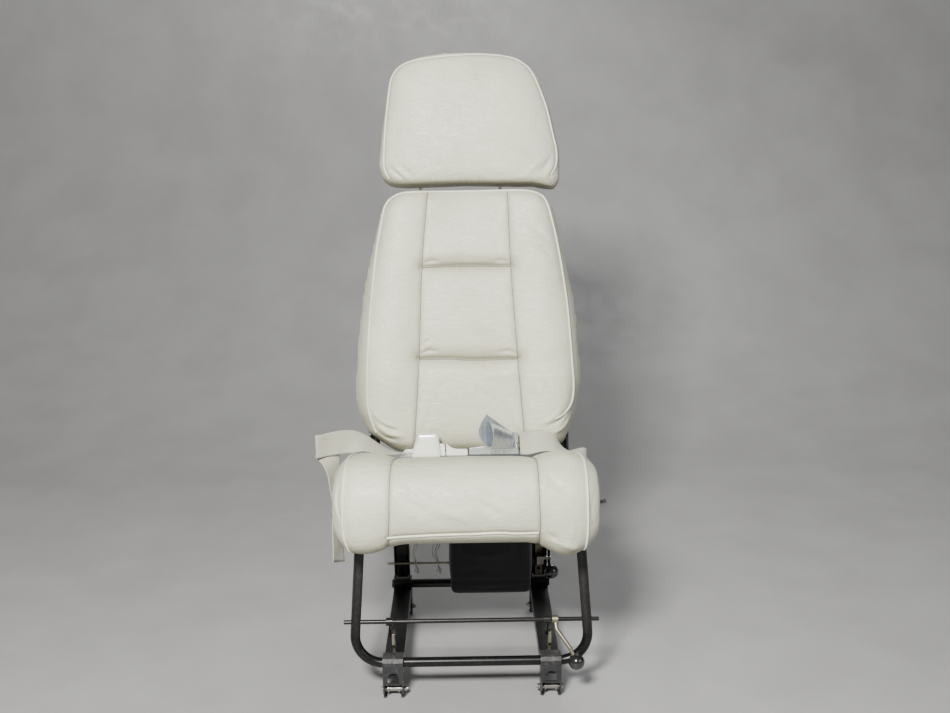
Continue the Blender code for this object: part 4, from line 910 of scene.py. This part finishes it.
soft_piece("back_cushion_cover", back_data, "cream_leather", "back", "back_cushion")
piping("back_piping", back_data, pressed(back_data, BACK, PIPED_BACK, FRONT, 200), "back")
drawn_again = [pressed(back_data, BACK, line, FRONT, 120) for line in (SEAM_LEFT, SEAM_RIGHT, *TUFTS)]
shaded_seam_threads("back", back_data, drawn_again, "back")

# %% [markdown]
# ## The headrest
# The headrest is a flatter cushion of the same leather. Its top corners are round, its sides spread
# towards the foot, and the lower corners are gathered by the drawstring inside. The section is the same
# idea as before: flat behind, full in front.

# %% Headrest
HEAD_LEFT = [(0.632, 0.150), (0.636, 0.168), (0.648, 0.180), (0.675, 0.188), (0.746, 0.180), (0.839, 0.167),
             (0.867, 0.161), (0.892, 0.142), (0.904, 0.118), (0.9105, 0.088), (0.914, 0.055)]
HEAD_RIGHT = [(0.626, 0.180), (0.632, 0.196), (0.646, 0.207), (0.700, 0.208), (0.797, 0.187), (0.862, 0.164),
              (0.885, 0.146), (0.899, 0.130), (0.907, 0.104), (0.9115, 0.078), (0.914, 0.050)]
HEAD_FULL = [(0.632, 0.78), (0.645, 0.96), (0.700, 1.05), (0.800, 1.04), (0.860, 0.95), (0.895, 0.82),
             (0.918, 0.62)]
HEAD_DEPTHS = [(0.0, 0.050), (0.35, 0.049), (0.60, 0.046), (0.80, 0.040), (0.91, 0.031), (0.975, 0.016),
               (1.0, -0.004)]
HEAD_REAR = [(0.985, 0.018), (0.93, 0.027), (0.5, 0.030)]


def head_section(z):
    full = read(HEAD_FULL, z)
    front = [(share, -0.020 - depth * full) for share, depth in HEAD_DEPTHS]
    return two_sided(z, read(HEAD_RIGHT, z), read(HEAD_LEFT, z), front, HEAD_REAR, 88)


levels = heights((0.632, 0.66, 7), (0.675, 0.86, 12), (0.87, 0.914, 10))
head_skin = remade(skin([head_section(z) for z in levels], BACK), 0.005)
for vertex in head_skin.vertices:  # the right lower corner sags, the middle of the foot is drawn up
    spot = inside_back @ vertex.co
    low = kept_between((0.690 - spot.z) / 0.058, 0, 1) ** 1.5
    sag = 0.010 * kept_between((spot.x - 0.150) / 0.045, 0, 1)
    spot.z -= low * (sag - 0.003 * max(0, 1 - abs(spot.x) / 0.12))
    vertex.co = BACK @ spot
print("headrest skin:", len(head_skin.vertices), "points")

# %% [markdown]
# Its piped edge goes up one side, over the top and down the other. The foot is held too, because a
# drawstring closes it, and the lower corners get the short folds that a drawstring makes.

# %% Headrest edge and folds
PIPED_HEAD = [
    (-0.163, 0, 0.645), (-0.172, 0, 0.664), (-0.1735, 0, 0.690), (-0.1690, 0, 0.760), (-0.1600, 0, 0.838),
    (-0.1540, 0, 0.864), (-0.1400, 0, 0.884), (-0.1100, 0, 0.896), (-0.0500, 0, 0.904), (0.0400, 0, 0.908),
    (0.1000, 0, 0.902), (0.1300, 0, 0.889), (0.1500, 0, 0.866), (0.1760, 0, 0.800), (0.1900, 0, 0.740),
    (0.1985, 0, 0.700), (0.1965, 0, 0.668), (0.1860, 0, 0.648),
]
piped_head = pressed(head_skin, BACK, PIPED_HEAD, FRONT, 120)
local = np.array([tuple(inside_back @ v.co) for v in head_skin.vertices])
on_frame = np.where((local[:, 1] > 0.018) | (local[:, 2] < 0.642), 1, 0)
held = np.maximum(bell(near(head_skin, [piped_head]), 0.006), on_frame)
blown(head_skin, held, 3.0, 0.005)
folds = [
    ([(-0.164, 0, 0.668), (-0.148, 0, 0.656), (-0.132, 0, 0.641)], -0.0026, 0.0040),
    ([(-0.152, 0, 0.664), (-0.136, 0, 0.652), (-0.122, 0, 0.640)], 0.0020, 0.0040),
    ([(-0.140, 0, 0.672), (-0.122, 0, 0.656), (-0.110, 0, 0.640)], -0.0016, 0.0045),
    ([(0.188, 0, 0.690), (0.176, 0, 0.668), (0.160, 0, 0.650)], -0.0030, 0.0050),
    ([(0.194, 0, 0.676), (0.184, 0, 0.658), (0.172, 0, 0.642)], 0.0028, 0.0045),
    ([(0.172, 0, 0.684), (0.150, 0, 0.664), (0.132, 0, 0.648)], 0.0016, 0.0050),
    ([(0.120, 0, 0.690), (0.060, 0, 0.675), (0.000, 0, 0.668)], -0.0005, 0.0120),
    ([(-0.05, 0, 0.70), (-0.09, 0, 0.688), (-0.13, 0, 0.690)], -0.0009, 0.0090),
]
head_data = stitched(head_skin, [piped_head], pressed_folds(head_skin, BACK, FRONT, folds), 0.0012, 0.004)
soft_piece("headrest_cover", head_data, "cream_leather", "headrest", "headrest_cushion")
piping("headrest_piping", head_data, pressed(head_data, BACK, PIPED_HEAD, FRONT, 160), "headrest")

# %% [markdown]
# ## The seat cushion
# This cushion is drawn the other way round: each section runs from front to rear at one place across
# the width. In front it rolls over the edge of the pan and hangs in front of the frame. At both sides
# the sections rise to a bolster and hang lower, most of all at the right corner, which has sagged.

# %% Seat cushion shape
SEAT_MIDDLE, SEAT_HALF = -0.0065, 0.2465
SEAT_CORE = (0.130, 0.062)
SEAT_TOP = [  # place from front to rear, height, how much higher at a bolster
    (0.350, 0.0755, 0.001), (0.300, 0.0838, 0.0008), (0.220, 0.0965, 0.0040), (0.120, 0.1130, 0.0140),
    (0.040, 0.1255, 0.0150), (-0.030, 0.1340, 0.0095), (-0.072, 0.127, 0.004),
]
SEAT_FRONT = [  # place, height, share of the side's hang
    (-0.098, 0.104, 0), (-0.109, 0.071, 0), (-0.107, 0.034, 0.5), (-0.098, 0.008, 1), (-0.080, -0.009, 1),
    (-0.058, -0.012, 1),
]
SEAT_UNDER = [(-0.036, -0.002), (-0.0345, 0.0125), (0.050, 0.0125), (0.150, 0.0125), (0.355, 0.0205),
              (0.364, 0.046)]


def seat_section(x):
    share = (x - SEAT_MIDDLE) / SEAT_HALF
    far = abs(share)
    bolster = 0.5 - 0.5 * math.cos(math.pi * kept_between((far - 0.45) / 0.30, 0, 1))
    hang = (0.026 if share > 0 else 0.017) * bolster
    outline = [(a, b + rise * bolster) for a, b, rise in SEAT_TOP]
    outline += [(a, b - drop * hang) for a, b, drop in SEAT_FRONT] + SEAT_UNDER
    start = 0.70 if share > 0 else 0.78
    end = max(0, (far - start) / (1 - start))
    shrink = 1 - 0.36 * end**2.4
    mid_a, mid_b = SEAT_CORE
    ring = [(mid_a + (a - mid_a) * (0.5 + 0.5 * shrink), mid_b + (b - mid_b) * shrink) for a, b in outline]
    return [(x, a, b) for a, b, _ in through([(a, b, 0) for a, b in ring], 90, closed=True)]


side_shares = [0.88, 0.92, 0.95, 0.975, 0.992, 1]
shares = [-share for share in reversed(side_shares)] + list(np.linspace(-0.84, 0.84, 33)) + side_shares
stations = SEAT_MIDDLE + SEAT_HALF * np.array(shares)
seat_skin = remade(skin([seat_section(x) for x in stations], PAN), 0.006)
print("seat skin:", len(seat_skin.vertices), "points")

# %% [markdown]
# Its seams don't lie in one plane: they run from the rear, over the front roll, to the lower edge. So
# each is drawn along the sections themselves, with a table for how its place across the seat changes.

# %% Seat seams, and the air
LINE_END = 60


def over_the_roll(xs, first):
    """A line that follows the section from the rear of the top, over the front, to the bottom edge."""
    places = np.interp(np.linspace(0, 1, LINE_END - first), *xs)
    return [PAN @ Vector(seat_section(x)[i]) for i, x in zip(range(first, LINE_END), places)]


SEAM_X_LEFT = ([0, 0.35, 0.7, 1], [-0.139, -0.142, -0.146, -0.152])
SEAM_X_RIGHT = ([0, 0.35, 0.7, 1], [0.121, 0.124, 0.127, 0.123])
EDGE_X_LEFT = ([0, 0.4, 0.75, 1], [-0.212, -0.226, -0.230, -0.212])
EDGE_X_RIGHT = ([0, 0.4, 0.75, 1], [0.200, 0.213, 0.214, 0.206])
seat_seams = [on_skin(seat_skin, over_the_roll(xs, 2)) for xs in (SEAM_X_LEFT, SEAM_X_RIGHT)]
edges = [on_skin(seat_skin, over_the_roll(xs, 0)) for xs in (EDGE_X_LEFT, EDGE_X_RIGHT)]
SKIRT = [(-0.150, 0.0055), (-0.100, 0.0080), (-0.030, 0.0105), (0.020, 0.0110), (0.050, 0.0125),
         (0.080, 0.0105), (0.124, 0.0110)]
skirt = pressed(seat_skin, PAN, [(x, 0, z) for x, z in SKIRT], FRONT, 90)
inside_pan = PAN.inverted()
local = np.array([tuple(inside_pan @ v.co) for v in seat_skin.vertices])
on_pan = (local[:, 2] < 0.030) & (local[:, 1] > -0.040) | (local[:, 1] > 0.345)
held = np.maximum(bell(near(seat_skin, seat_seams + edges + [skirt]), 0.006), np.where(on_pan, 1, 0))
blown(seat_skin, held, 3.2, 0.007)

# %% [markdown]
# The folds of the seat are longer and weaker than those of the back: slanting wrinkles on the front
# panel, short ones beside the right seam, and two deep ones where the right corner has sagged.

# %% Seat folds, seams and piping
folds = [
    ([(-0.120, 0, 0.108), (-0.090, 0, 0.086), (-0.060, 0, 0.070)], -0.0022, 0.0075),
    ([(-0.130, 0, 0.092), (-0.100, 0, 0.066), (-0.075, 0, 0.052)], -0.0019, 0.0065),
    ([(-0.010, 0, 0.090), (0.020, 0, 0.068), (0.060, 0, 0.046)], -0.0023, 0.0070),
    ([(0.020, 0, 0.104), (0.050, 0, 0.080), (0.084, 0, 0.062)], -0.0022, 0.0075),
    ([(-0.060, 0, 0.064), (-0.030, 0, 0.048), (0.000, 0, 0.040)], 0.0016, 0.0090),
    ([(0.140, 0, 0.118), (0.165, 0, 0.098), (0.186, 0, 0.088)], -0.0024, 0.0055),
    ([(0.142, 0, 0.104), (0.160, 0, 0.094), (0.184, 0, 0.078)], -0.0020, 0.0055),
    ([(-0.236, 0, 0.110), (-0.240, 0, 0.070), (-0.232, 0, 0.030)], -0.0016, 0.0036),
    ([(-0.242, 0, 0.100), (-0.2455, 0, 0.070), (-0.238, 0, 0.036)], 0.0014, 0.0036),
    ([(0.150, 0, 0.004), (0.172, 0, -0.012), (0.196, 0, -0.022)], 0.0040, 0.0070),
    ([(0.140, 0, 0.012), (0.158, 0, -0.002), (0.176, 0, -0.014)], -0.0034, 0.0060),
    ([(0.226, 0, 0.020), (0.222, 0, 0.050), (0.228, 0, 0.080)], -0.0012, 0.0050),
]
seat_data = stitched(seat_skin, seat_seams + [skirt], pressed_folds(seat_skin, PAN, FRONT, folds))
soft_piece("seat_cushion_cover", seat_data, "cream_leather", "seat", "seat_cushion")
for side, line in zip(("left", "right"), edges):
    piping(f"seat_piping_{side}", seat_data, line, "seat")
piping("seat_skirt_piping", seat_data, skirt, "seat", 0.0023)
shaded_seam_threads("seat", seat_data, [on_skin(seat_data, line) for line in seat_seams], "seat")

# %% [markdown]
# ## Bent tubes
# The big tubes of the frame show their bends, so they are drawn again as true round curves along the
# same line. Where a tube's path turns, a small arc of many steps replaces the corner.

# %% Frame tubes
def rounded_path(points, radius, steps=20):
    points = [Vector(point) for point in points]
    path = [points[0]]
    for before, corner, after in zip(points, points[1:], points[2:]):
        way_in, way_out = (corner - before).normalized(), (after - corner).normalized()
        half_turn = way_in.angle(way_out) / 2
        centre = corner + (way_out - way_in).normalized() * (radius / math.cos(half_turn))
        start = corner - way_in * radius * math.tan(half_turn) - centre
        axis = way_in.cross(way_out).normalized()
        turns = [Matrix.Rotation(2 * half_turn * i / steps, 3, axis) for i in range(steps + 1)]
        path += [centre + small_turn @ start for small_turn in turns]
    return path + [points[-1]]


def round_tube(name, place, points, radius, finish, body, *nodes, sides=6):
    curve = bpy.data.curves.new(name, "CURVE")
    curve.dimensions, curve.bevel_depth, curve.bevel_resolution = "3D", radius, sides
    curve.use_fill_caps = True
    spline = curve.splines.new("POLY")
    spline.points.add(len(points) - 1)
    for point, spot in zip(spline.points, points):
        point.co = (*(place @ Vector(spot)), 1)
    spline.use_smooth = True
    item = new_object(name, curve)
    curve.materials.append(LOOKS[finish])
    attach(item, body)
    if nodes:
        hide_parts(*nodes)
    return item


TUBE = 0.009525
HOOP_FOOT, HOOP_TOP, HOOP_HALF = 0.070, 0.332, 0.2285
hoop_rise = HOOP_TOP - HOOP_FOOT
top_half, top_y = HOOP_HALF - 0.071 * hoop_rise, 0.08 * hoop_rise
hoop = [(-top_half, top_y, HOOP_TOP), (-HOOP_HALF, 0, HOOP_FOOT)]
hoop += [(-x, y, z) for x, y, z in reversed(hoop)]
round_tube("front_hoop_tube", ORIGIN, rounded_path(hoop, 0.054), TUBE, "black_paint", "seat", "front_hoop")
x_low, x_high = -0.098, 0.078
posts = [(x_low, 0.016, 0.42), (x_low, 0.016, 0.78), (x_high, 0.016, 0.78), (x_high, 0.016, 0.42)]
round_tube("headrest_post_wire", BACK, rounded_path(posts, 0.020), 0.00325, "post_wire", "headrest",
           "headrest_posts", sides=4)
print("hoop drawn through", len(rounded_path(hoop, 0.054)), "points")

# %% [markdown]
# ## The lap belt
# Webbing is a flat ribbon that bends easily one way and hardly at all the other. It is drawn as
# stations, each a point and the direction of its width, with a smooth curve between them. Every row
# gets a slight cup and ripple, so that the light runs along it unevenly, and a flat map for the weave.

# %% Webbing
HALF_WIDTH, THICKNESS, ACROSS = 0.0245, 0.0013, 14


def webbing(name, drawn, body, node, wave=0.0008, count=120):
    centres = through([ORIGIN @ Vector(point) for point, _ in drawn], count)
    widths = through([width for _, width in drawn], count)
    builder = bmesh.new()
    rows, length = [], 0.0
    for i in range(count):
        centre = Vector(centres[i])
        along_it = (Vector(centres[min(i + 1, count - 1)]) - Vector(centres[max(i - 1, 0)])).normalized()
        wide = Vector(widths[i]).normalized()
        wide = (wide - along_it * wide.dot(along_it)).normalized()
        face = along_it.cross(wide)
        length += (centre - Vector(centres[i - 1])).length if i else 0
        row = []
        for k in range(ACROSS + 1):
            u = 2 * k / ACROSS - 1
            ripple = wave * (math.sin(length * 75 + u * 2) * 0.6 + u * u * math.sin(length * 38 + 1))
            edge_wave = 1 + 0.006 * math.sin(length * 160 + u)
            row.append(centre + wide * (HALF_WIDTH * u * edge_wave) + face * ripple)
        rows.append((row, face, length))
    grid = [[builder.verts.new(spot) for spot in row] for row, _, _ in rows]
    layer = builder.loops.layers.uv.new("flat")
    for i in range(count - 1):
        for k in range(ACROSS):
            corners = ((i, k), (i, k + 1), (i + 1, k + 1), (i + 1, k))
            made = builder.faces.new([grid[a][b] for a, b in corners])
            made.smooth = True
            for loop, (a, b) in zip(made.loops, corners):
                loop[layer].uv = (b / ACROSS, rows[a][2])
    data = bpy.data.meshes.new(name)
    builder.to_mesh(data)
    builder.free()
    data.materials.append(LOOKS["cream_webbing"])
    data = applied(data, "SOLIDIFY", thickness=THICKNESS, offset=0.0)
    item = new_object(name, data)
    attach(item, body)
    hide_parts(node)
    print(name, "length", round(length, 3))

# %% [markdown]
# Each row of a table is a point of the belt's middle and the direction of its width. The left half
# comes out from behind the adjuster, folds back at the loop and hangs down beside the cushion. The
# right half leaves the buckle's eye and dives between the cushions to its bracket.

# %% The two belts
UP = (0, 0, 1)
LEFT_BELT = [
    ((-0.1250, 0.3170, 0.3960), (0, 0.90, -0.30)),
    ((-0.1450, 0.3140, 0.3975), (0, 0.90, -0.28)),
    ((-0.1680, 0.3100, 0.4020), (0, 0.95, -0.12)),
    ((-0.1950, 0.3060, 0.4110), (0, 0.95, 0.20)),
    ((-0.2250, 0.3000, 0.4260), (0, 0.80, 0.50)),
    ((-0.2550, 0.2880, 0.4320), (0, 0.40, 0.90)),
    ((-0.2880, 0.2680, 0.4330), (0, 0.10, 1)),
    ((-0.3100, 0.2520, 0.4320), UP),
    ((-0.3165, 0.2500, 0.4318), UP),
    ((-0.3170, 0.2580, 0.4310), UP),
    ((-0.3090, 0.2660, 0.4270), (0.12, 0.0, 1)),
    ((-0.2970, 0.2700, 0.4150), (0.4, 0.3, 0.9)),
    ((-0.2890, 0.2660, 0.3950), (0.45, 0.8, 0.5)),
    ((-0.2830, 0.2520, 0.3650), (0.3, 1, 0.1)),
    ((-0.2750, 0.2200, 0.3200), (0.3, 1, -0.2)),
    ((-0.2710, 0.1850, 0.2650), (0.35, 1, -0.3)),
    ((-0.2700, 0.1650, 0.2120), (0.40, 1, -0.2)),
]
RIGHT_BELT = [
    ((0.1092, 0.3180, 0.4140), UP),
    ((0.1300, 0.3165, 0.4150), (0, 0.45, 0.9)),
    ((0.1550, 0.3150, 0.4195), (0, 0.60, 0.8)),
    ((0.1800, 0.3180, 0.4170), (0, 0.75, 0.65)),
    ((0.1980, 0.3230, 0.4030), (0, 0.95, 0.10)),
    ((0.2160, 0.3310, 0.3900), (0, 0.90, -0.40)),
    ((0.2400, 0.3480, 0.3770), (0.1, 1, -0.2)),
    ((0.2560, 0.3680, 0.3630), (0.1, 1, 0.1)),
    ((0.2560, 0.3940, 0.3440), (0, 1, 0.25)),
    ((0.2420, 0.4180, 0.3300), (0, 1, 0.1)),
    ((0.2300, 0.4240, 0.3210), (0, 1, 0)),
    ((0.2247, 0.4240, 0.3080), (0, 1, 0)),
    ((0.2247, 0.4240, 0.2900), (0, 1, 0)),
]
webbing("left_belt", LEFT_BELT, "seat", "belt_left_webbing")
webbing("right_belt", RIGHT_BELT, "seat", "belt_right_webbing")

# %% [markdown]
# ## The buckle's lifting cover
# The cover is a thin bowed sheet over a flat one, narrow at its hinge and wide at its mouth. Its solid
# stand-in has few facets, so it is drawn again with many, with the same barrel round the hinge pin.

# %% Buckle cover
HINGE_SPOT = (0.092, 0.3155, 0.4215)
HINGE = ORIGIN @ Matrix.Translation(HINGE_SPOT) @ Matrix.Rotation(math.radians(32), 4, "Z")
COVER_REACH, WALL_REACH = 0.064, 0.086


def hard_piece(name, data, finish, body, *nodes, rounding=0.0003):
    """A small solid piece that is drawn here and dressed as the solid ones are."""
    item = new_object(name, data)
    dress(item, finish, rounding)
    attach(item, body)
    if nodes:
        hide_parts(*nodes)


def cover_line(distance, skin_in):
    """The bowed sheet at one distance from the hinge; skin_in is how far inside its outer face."""
    share = distance / COVER_REACH
    half_height = 0.0175 + 0.0145 * share - skin_in
    depth = 0.009 + 0.013 * share - skin_in
    flare = 0.0012 * max(0, (share - 0.9) / 0.1) ** 2
    line = []
    for a in np.radians(np.linspace(-90, 90, 31)):
        out = -0.0030 - (depth + flare) * math.cos(a)
        line.append((-distance, out, 0.0235 * share + (half_height + flare) * math.sin(a)))
    return line


def wall_line(distance, skin_in):
    """The flat sheet at one distance from the hinge. Its far edge is a curve."""
    share = distance / COVER_REACH
    half_height = 0.0175 + 0.0145 * share - skin_in
    low = 0.0235 * share - half_height * (0.94 if share > 1 else 1)
    high = 0.0235 * share + half_height
    line = []
    for k in range(31):
        reach = distance * (0.76 + 0.24 * math.sin(math.pi * k / 30))
        line.append((-reach, -0.0030 - skin_in * 0.9, low + (high - low) * k / 30))
    return line


wall_rings = [wall_line(distance, 0.0) + wall_line(distance, 0.0014)[::-1]
              for distance in np.linspace(0.0060, WALL_REACH, 26)]
cover_rings = [cover_line(distance, 0.0) + cover_line(distance, 0.0013)[::-1]
               for distance in np.linspace(0.0045, COVER_REACH, 22)]
hard_piece("buckle_cover_wall", skin(wall_rings, HINGE), "satin_steel", "buckle_cover")
hard_piece("buckle_lift_cover", skin(cover_rings, HINGE), "satin_steel", "buckle_cover", "buckle_cover")
barrel = [(0, 0, -0.0147), (0, 0, 0.0147)]
round_tube("buckle_cover_barrel", HINGE, barrel, 0.0032, "satin_steel", "buckle_cover")
print("buckle cover:", len(cover_rings) + len(wall_rings), "sections")

# %% [markdown]
# ## The pouch
# The pouch is a soft black bag. It is made as the cushions are, with less pressure, and gets a bound
# band near its foot. Its top follows the slope of the pan that it hangs from.

# %% Pouch
POUCH_SIDES, POUCH_ENDS, POUCH_CORNER = (-0.043, 0.130), (0.262, 0.338), 0.008
RIM_OVER_PAN = 0.0095
POUCH_LEVELS = [  # height, and how far the bag draws in there
    (0.095, 0.004), (0.097, 0.0015), (0.100, 0.0), (0.12, 0), (0.15, 0), (0.18, 0), (0.21, 0), (0.24, 0.001),
    (0.27, 0.002), (0.30, 0.004),
]


def pouch_section(z, inset):
    r = POUCH_CORNER
    x0, x1 = POUCH_SIDES[0] + inset + r, POUCH_SIDES[1] - inset - r
    y0, y1 = POUCH_ENDS[0] + inset / 2 + r, POUCH_ENDS[1] - inset / 2 - r
    ring = []
    for x, y, start in ((x1, y1, 0), (x0, y1, 90), (x0, y0, 180), (x1, y0, 270)):
        turns = [math.radians(start + 15 * i) for i in range(7)]
        ring += [(x + r * math.cos(a), y + r * math.sin(a)) for a in turns]
    rim = PAN_HEIGHT - math.tan(math.radians(PAN_SLOPE)) * np.array([y for _, y in ring]) + RIM_OVER_PAN
    return [(x, y, min(z, top)) for (x, y), top in zip(ring, rim)]


pouch_rings = [pouch_section(z, inset) for z, inset in POUCH_LEVELS]
pouch_skin = remade(skin(pouch_rings, ORIGIN), 0.006)
band_line = pressed(pouch_skin, ORIGIN, [(-0.041, 0, 0.124), (0.04, 0, 0.1235), (0.128, 0, 0.124)], FRONT, 60)
on_pan = np.where(spots_of(pouch_skin)[:, 2] > 0.285, 1, 0)
held = np.maximum(bell(near(pouch_skin, [band_line]), 0.006), on_pan)
blown(pouch_skin, held, 1.6, 0.004)
folds = [
    ([(-0.03, 0, 0.25), (0.0, 0, 0.20), (0.01, 0, 0.16)], -0.0030, 0.010),
    ([(0.06, 0, 0.26), (0.05, 0, 0.21), (0.07, 0, 0.17)], 0.0026, 0.011),
    ([(0.11, 0, 0.24), (0.10, 0, 0.19), (0.11, 0, 0.15)], -0.0028, 0.009),
    ([(-0.03, 0, 0.14), (0.02, 0, 0.150), (0.07, 0, 0.138)], -0.0022, 0.008),
    ([(-0.035, 0, 0.20), (0.03, 0, 0.183), (0.10, 0, 0.196)], 0.0022, 0.010),
    ([(-0.02, 0, 0.112), (0.04, 0, 0.106), (0.11, 0, 0.111)], -0.0020, 0.006),
]
folds = pressed_folds(pouch_skin, ORIGIN, FRONT, folds)
pouch_data = stitched(pouch_skin, [band_line], folds, 0.0015, 0.004)
soft_piece("pouch_bag", pouch_data, "black_fabric", "seat", "stowage_pouch", fill=0.3)

# %% [markdown]
# ## The cotton ties
# Two loose cotton cords hang from the cushion's underside, past the thin rod under it. Each is
# one cord with three frayed strands that fan out at the top and at the tip.

# %% Cotton ties
STRANDS = ((0.3, 0.010), (2.2, -0.012), (4.1, 0.006))  # where its wave starts, how far it fans out


def tie_route(x, front, rod_z):
    return [
        (x + 0.003, front - 0.004, 0.243), (x + 0.005, front - 0.005, 0.215),
        (x + 0.001, front - 0.003, 0.180), (x - 0.006, front - 0.002, 0.155),
        (x - 0.001, front, rod_z + 0.006), (x, front, rod_z), (x + 0.001, front, rod_z - 0.006),
        (x + 0.004, front + 0.001, 0.116), (x + 0.002, front, 0.106),
    ]


def strand_path(route, phase, reach):
    path = []
    for i, point in enumerate(through(route, 48)):
        share = i / 47
        fan = reach * (1 - min(1, share / 0.62)) ** 0.8 + 0.4 * reach * max(0, (share - 0.8) / 0.2)
        aside = fan + 0.0012 * math.sin(9 * share + phase)
        forward = -0.0016 - 0.0008 * math.cos(7 * share + phase)
        path.append(Vector(point) + Vector((aside, forward, 0.003 * math.sin(phase) * share)))
    return path


rod_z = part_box("tie_rod")[0][2] + 0.0025
for side, x in (("left", -0.1210), ("right", -0.0720)):
    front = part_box("cover_tie_" + side)[1][1] - ORIGIN.translation.y - 0.0020
    route = tie_route(x, front, rod_z)
    for number, (phase, reach) in enumerate(STRANDS):
        path = strand_path(route, phase, reach)
        strand = round_tube(f"tie_strand_{side}_{number}", ORIGIN, path, 0.0007, "cotton", "seat", sides=2)
    tie = round_tube(f"cover_tie_cord_{side}", ORIGIN, through(route, 60), 0.0010, "cotton", "seat",
                     f"cover_tie_{side}", sides=3)

# %% [markdown]
# ## The belt's adjuster
# The adjuster is a pressed box with a bright, slightly domed face. Its sections shrink towards the
# front and their corners are round, so that the face meets the sides in a soft edge.

# %% Adjuster
ADJUSTER = [(-0.1240, 0.3900), (-0.0590, 0.3900), (-0.0645, 0.4410), (-0.1085, 0.4404)]
ADJUSTER_MIDDLE = Vector((-0.0900, 0.4155))
ADJUSTER_STEPS = [  # place from rear to front, and how far the section draws in there
    (0.3132, 0.0002), (0.3100, 0), (0.3040, 0), (0.3010, 0.0008), (0.2998, 0.0024), (0.2990, 0.0060),
    (0.2986, 0.0120),
]


def round_corners(corners, radius, steps):
    """A flat outline with a small curve at each corner."""
    outline = []
    for i, corner in enumerate(corners):
        spot = Vector(corner)
        before, after = Vector(corners[i - 1]) - spot, Vector(corners[(i + 1) % len(corners)]) - spot
        start, end = spot + before.normalized() * radius, spot + after.normalized() * radius
        for t in np.linspace(0, 1, steps):
            outline.append(start * (1 - t) ** 2 + spot * 2 * t * (1 - t) + end * t**2)
    return outline


def adjuster_section(y, inset):
    ring = []
    for spot in round_corners(ADJUSTER, 0.006, 7):
        drawn_in = spot + (ADJUSTER_MIDDLE - spot).normalized() * inset
        ring.append((drawn_in.x, y, drawn_in.y))
    return ring


adjuster_data = skin([adjuster_section(y, inset) for y, inset in ADJUSTER_STEPS], ORIGIN)
hard_piece("adjuster_shell", adjuster_data, "bright_cover", "seat", "belt_adjuster", rounding=0.0004)
print("adjuster:", len(adjuster_data.polygons), "faces")

# %% [markdown]
# Beside the adjuster stand three thin plates: the lug with its rivet, a base plate and the tongue. Each
# is an outline with round corners, a little over two millimetres thick.

# %% Lug, base and tongue
def pressed_plate(name, corners, front, rear, *nodes, radius=0.003, finish="bright_cover"):
    """A thin upright plate with round corners, drawn from the front."""
    outline = round_corners(corners, radius, 6)
    data = skin([[(x, y, z) for x, z in outline] for y in (front, rear)], ORIGIN)
    hard_piece(name, data, finish, "seat", *nodes, rounding=0.0004)


LUG = [(-0.1480, 0.3885), (-0.1180, 0.3910), (-0.1140, 0.4065), (-0.1360, 0.4050)]
ADJUSTER_BASE = [(-0.0700, 0.3905), (-0.0500, 0.3910), (-0.0515, 0.4170), (-0.0700, 0.4180)]
TONGUE = [(-0.0480, 0.3915), (-0.0030, 0.3915), (-0.0030, 0.4050), (-0.0300, 0.4060), (-0.0400, 0.4105),
          (-0.0480, 0.4190)]
pressed_plate("adjuster_lug", LUG, 0.3105, 0.3125)
pressed_plate("adjuster_base", ADJUSTER_BASE, 0.3095, 0.3120)
rivet = [(-0.1365, 0.3088, 0.3975), (-0.1365, 0.3128, 0.3975)]
round_tube("adjuster_rivet", ORIGIN, rivet, 0.0026, "bright_steel", "seat")
pressed_plate("belt_tongue_plate", TONGUE, 0.3085, 0.3110, "belt_tongue", radius=0.002)
print("tongue drawn through", len(TONGUE), "corners")

# %% [markdown]
# ## The buckle's base
# Behind the cover stands a low plate with two ears, which hold the hinge pin, and an eye for the ring
# of the belt.

# %% Buckle base
BASE = [(0.0010, 0.3900), (0.1060, 0.3900), (0.1060, 0.4375), (0.0830, 0.4375), (0.0700, 0.4120),
        (0.0010, 0.4040)]
EAR = [(-0.0035, 0.0045), (-0.0035, -0.0015), (-0.0015, -0.0035), (0.0015, -0.0035), (0.0035, -0.0015),
       (0.0035, 0.0045)]
EAR_THICKNESS, EYE_RADIUS = 0.0032, 0.0052
hinge_x, hinge_y, hinge_z = HINGE_SPOT
pressed_plate("buckle_base", BASE, 0.3190, 0.3218, "buckle_body", radius=0.0025, finish="satin_steel")
for name, low in (("upper", 0.0150), ("lower", -0.0182)):
    rings = [[(hinge_x + a, hinge_y + b, hinge_z + low + rise) for a, b in EAR]
             for rise in (0, EAR_THICKNESS)]
    hard_piece("buckle_ear_" + name, skin(rings, ORIGIN), "satin_steel", "seat")
pin = [(hinge_x, hinge_y, hinge_z + z) for z in (-0.0190, 0.0190)]
round_tube("buckle_pin", ORIGIN, pin, 0.0014, "bright_steel", "seat")
eye = [(0.1010 + EYE_RADIUS * math.cos(a), 0.3165, 0.4100 + EYE_RADIUS * math.sin(a))
       for a in np.linspace(0, 2 * math.pi, 33)]
round_tube("buckle_eye", ORIGIN, eye, 0.0014, "bright_steel", "seat", sides=3)
print("buckle base: a plate, two ears, a pin and an eye")
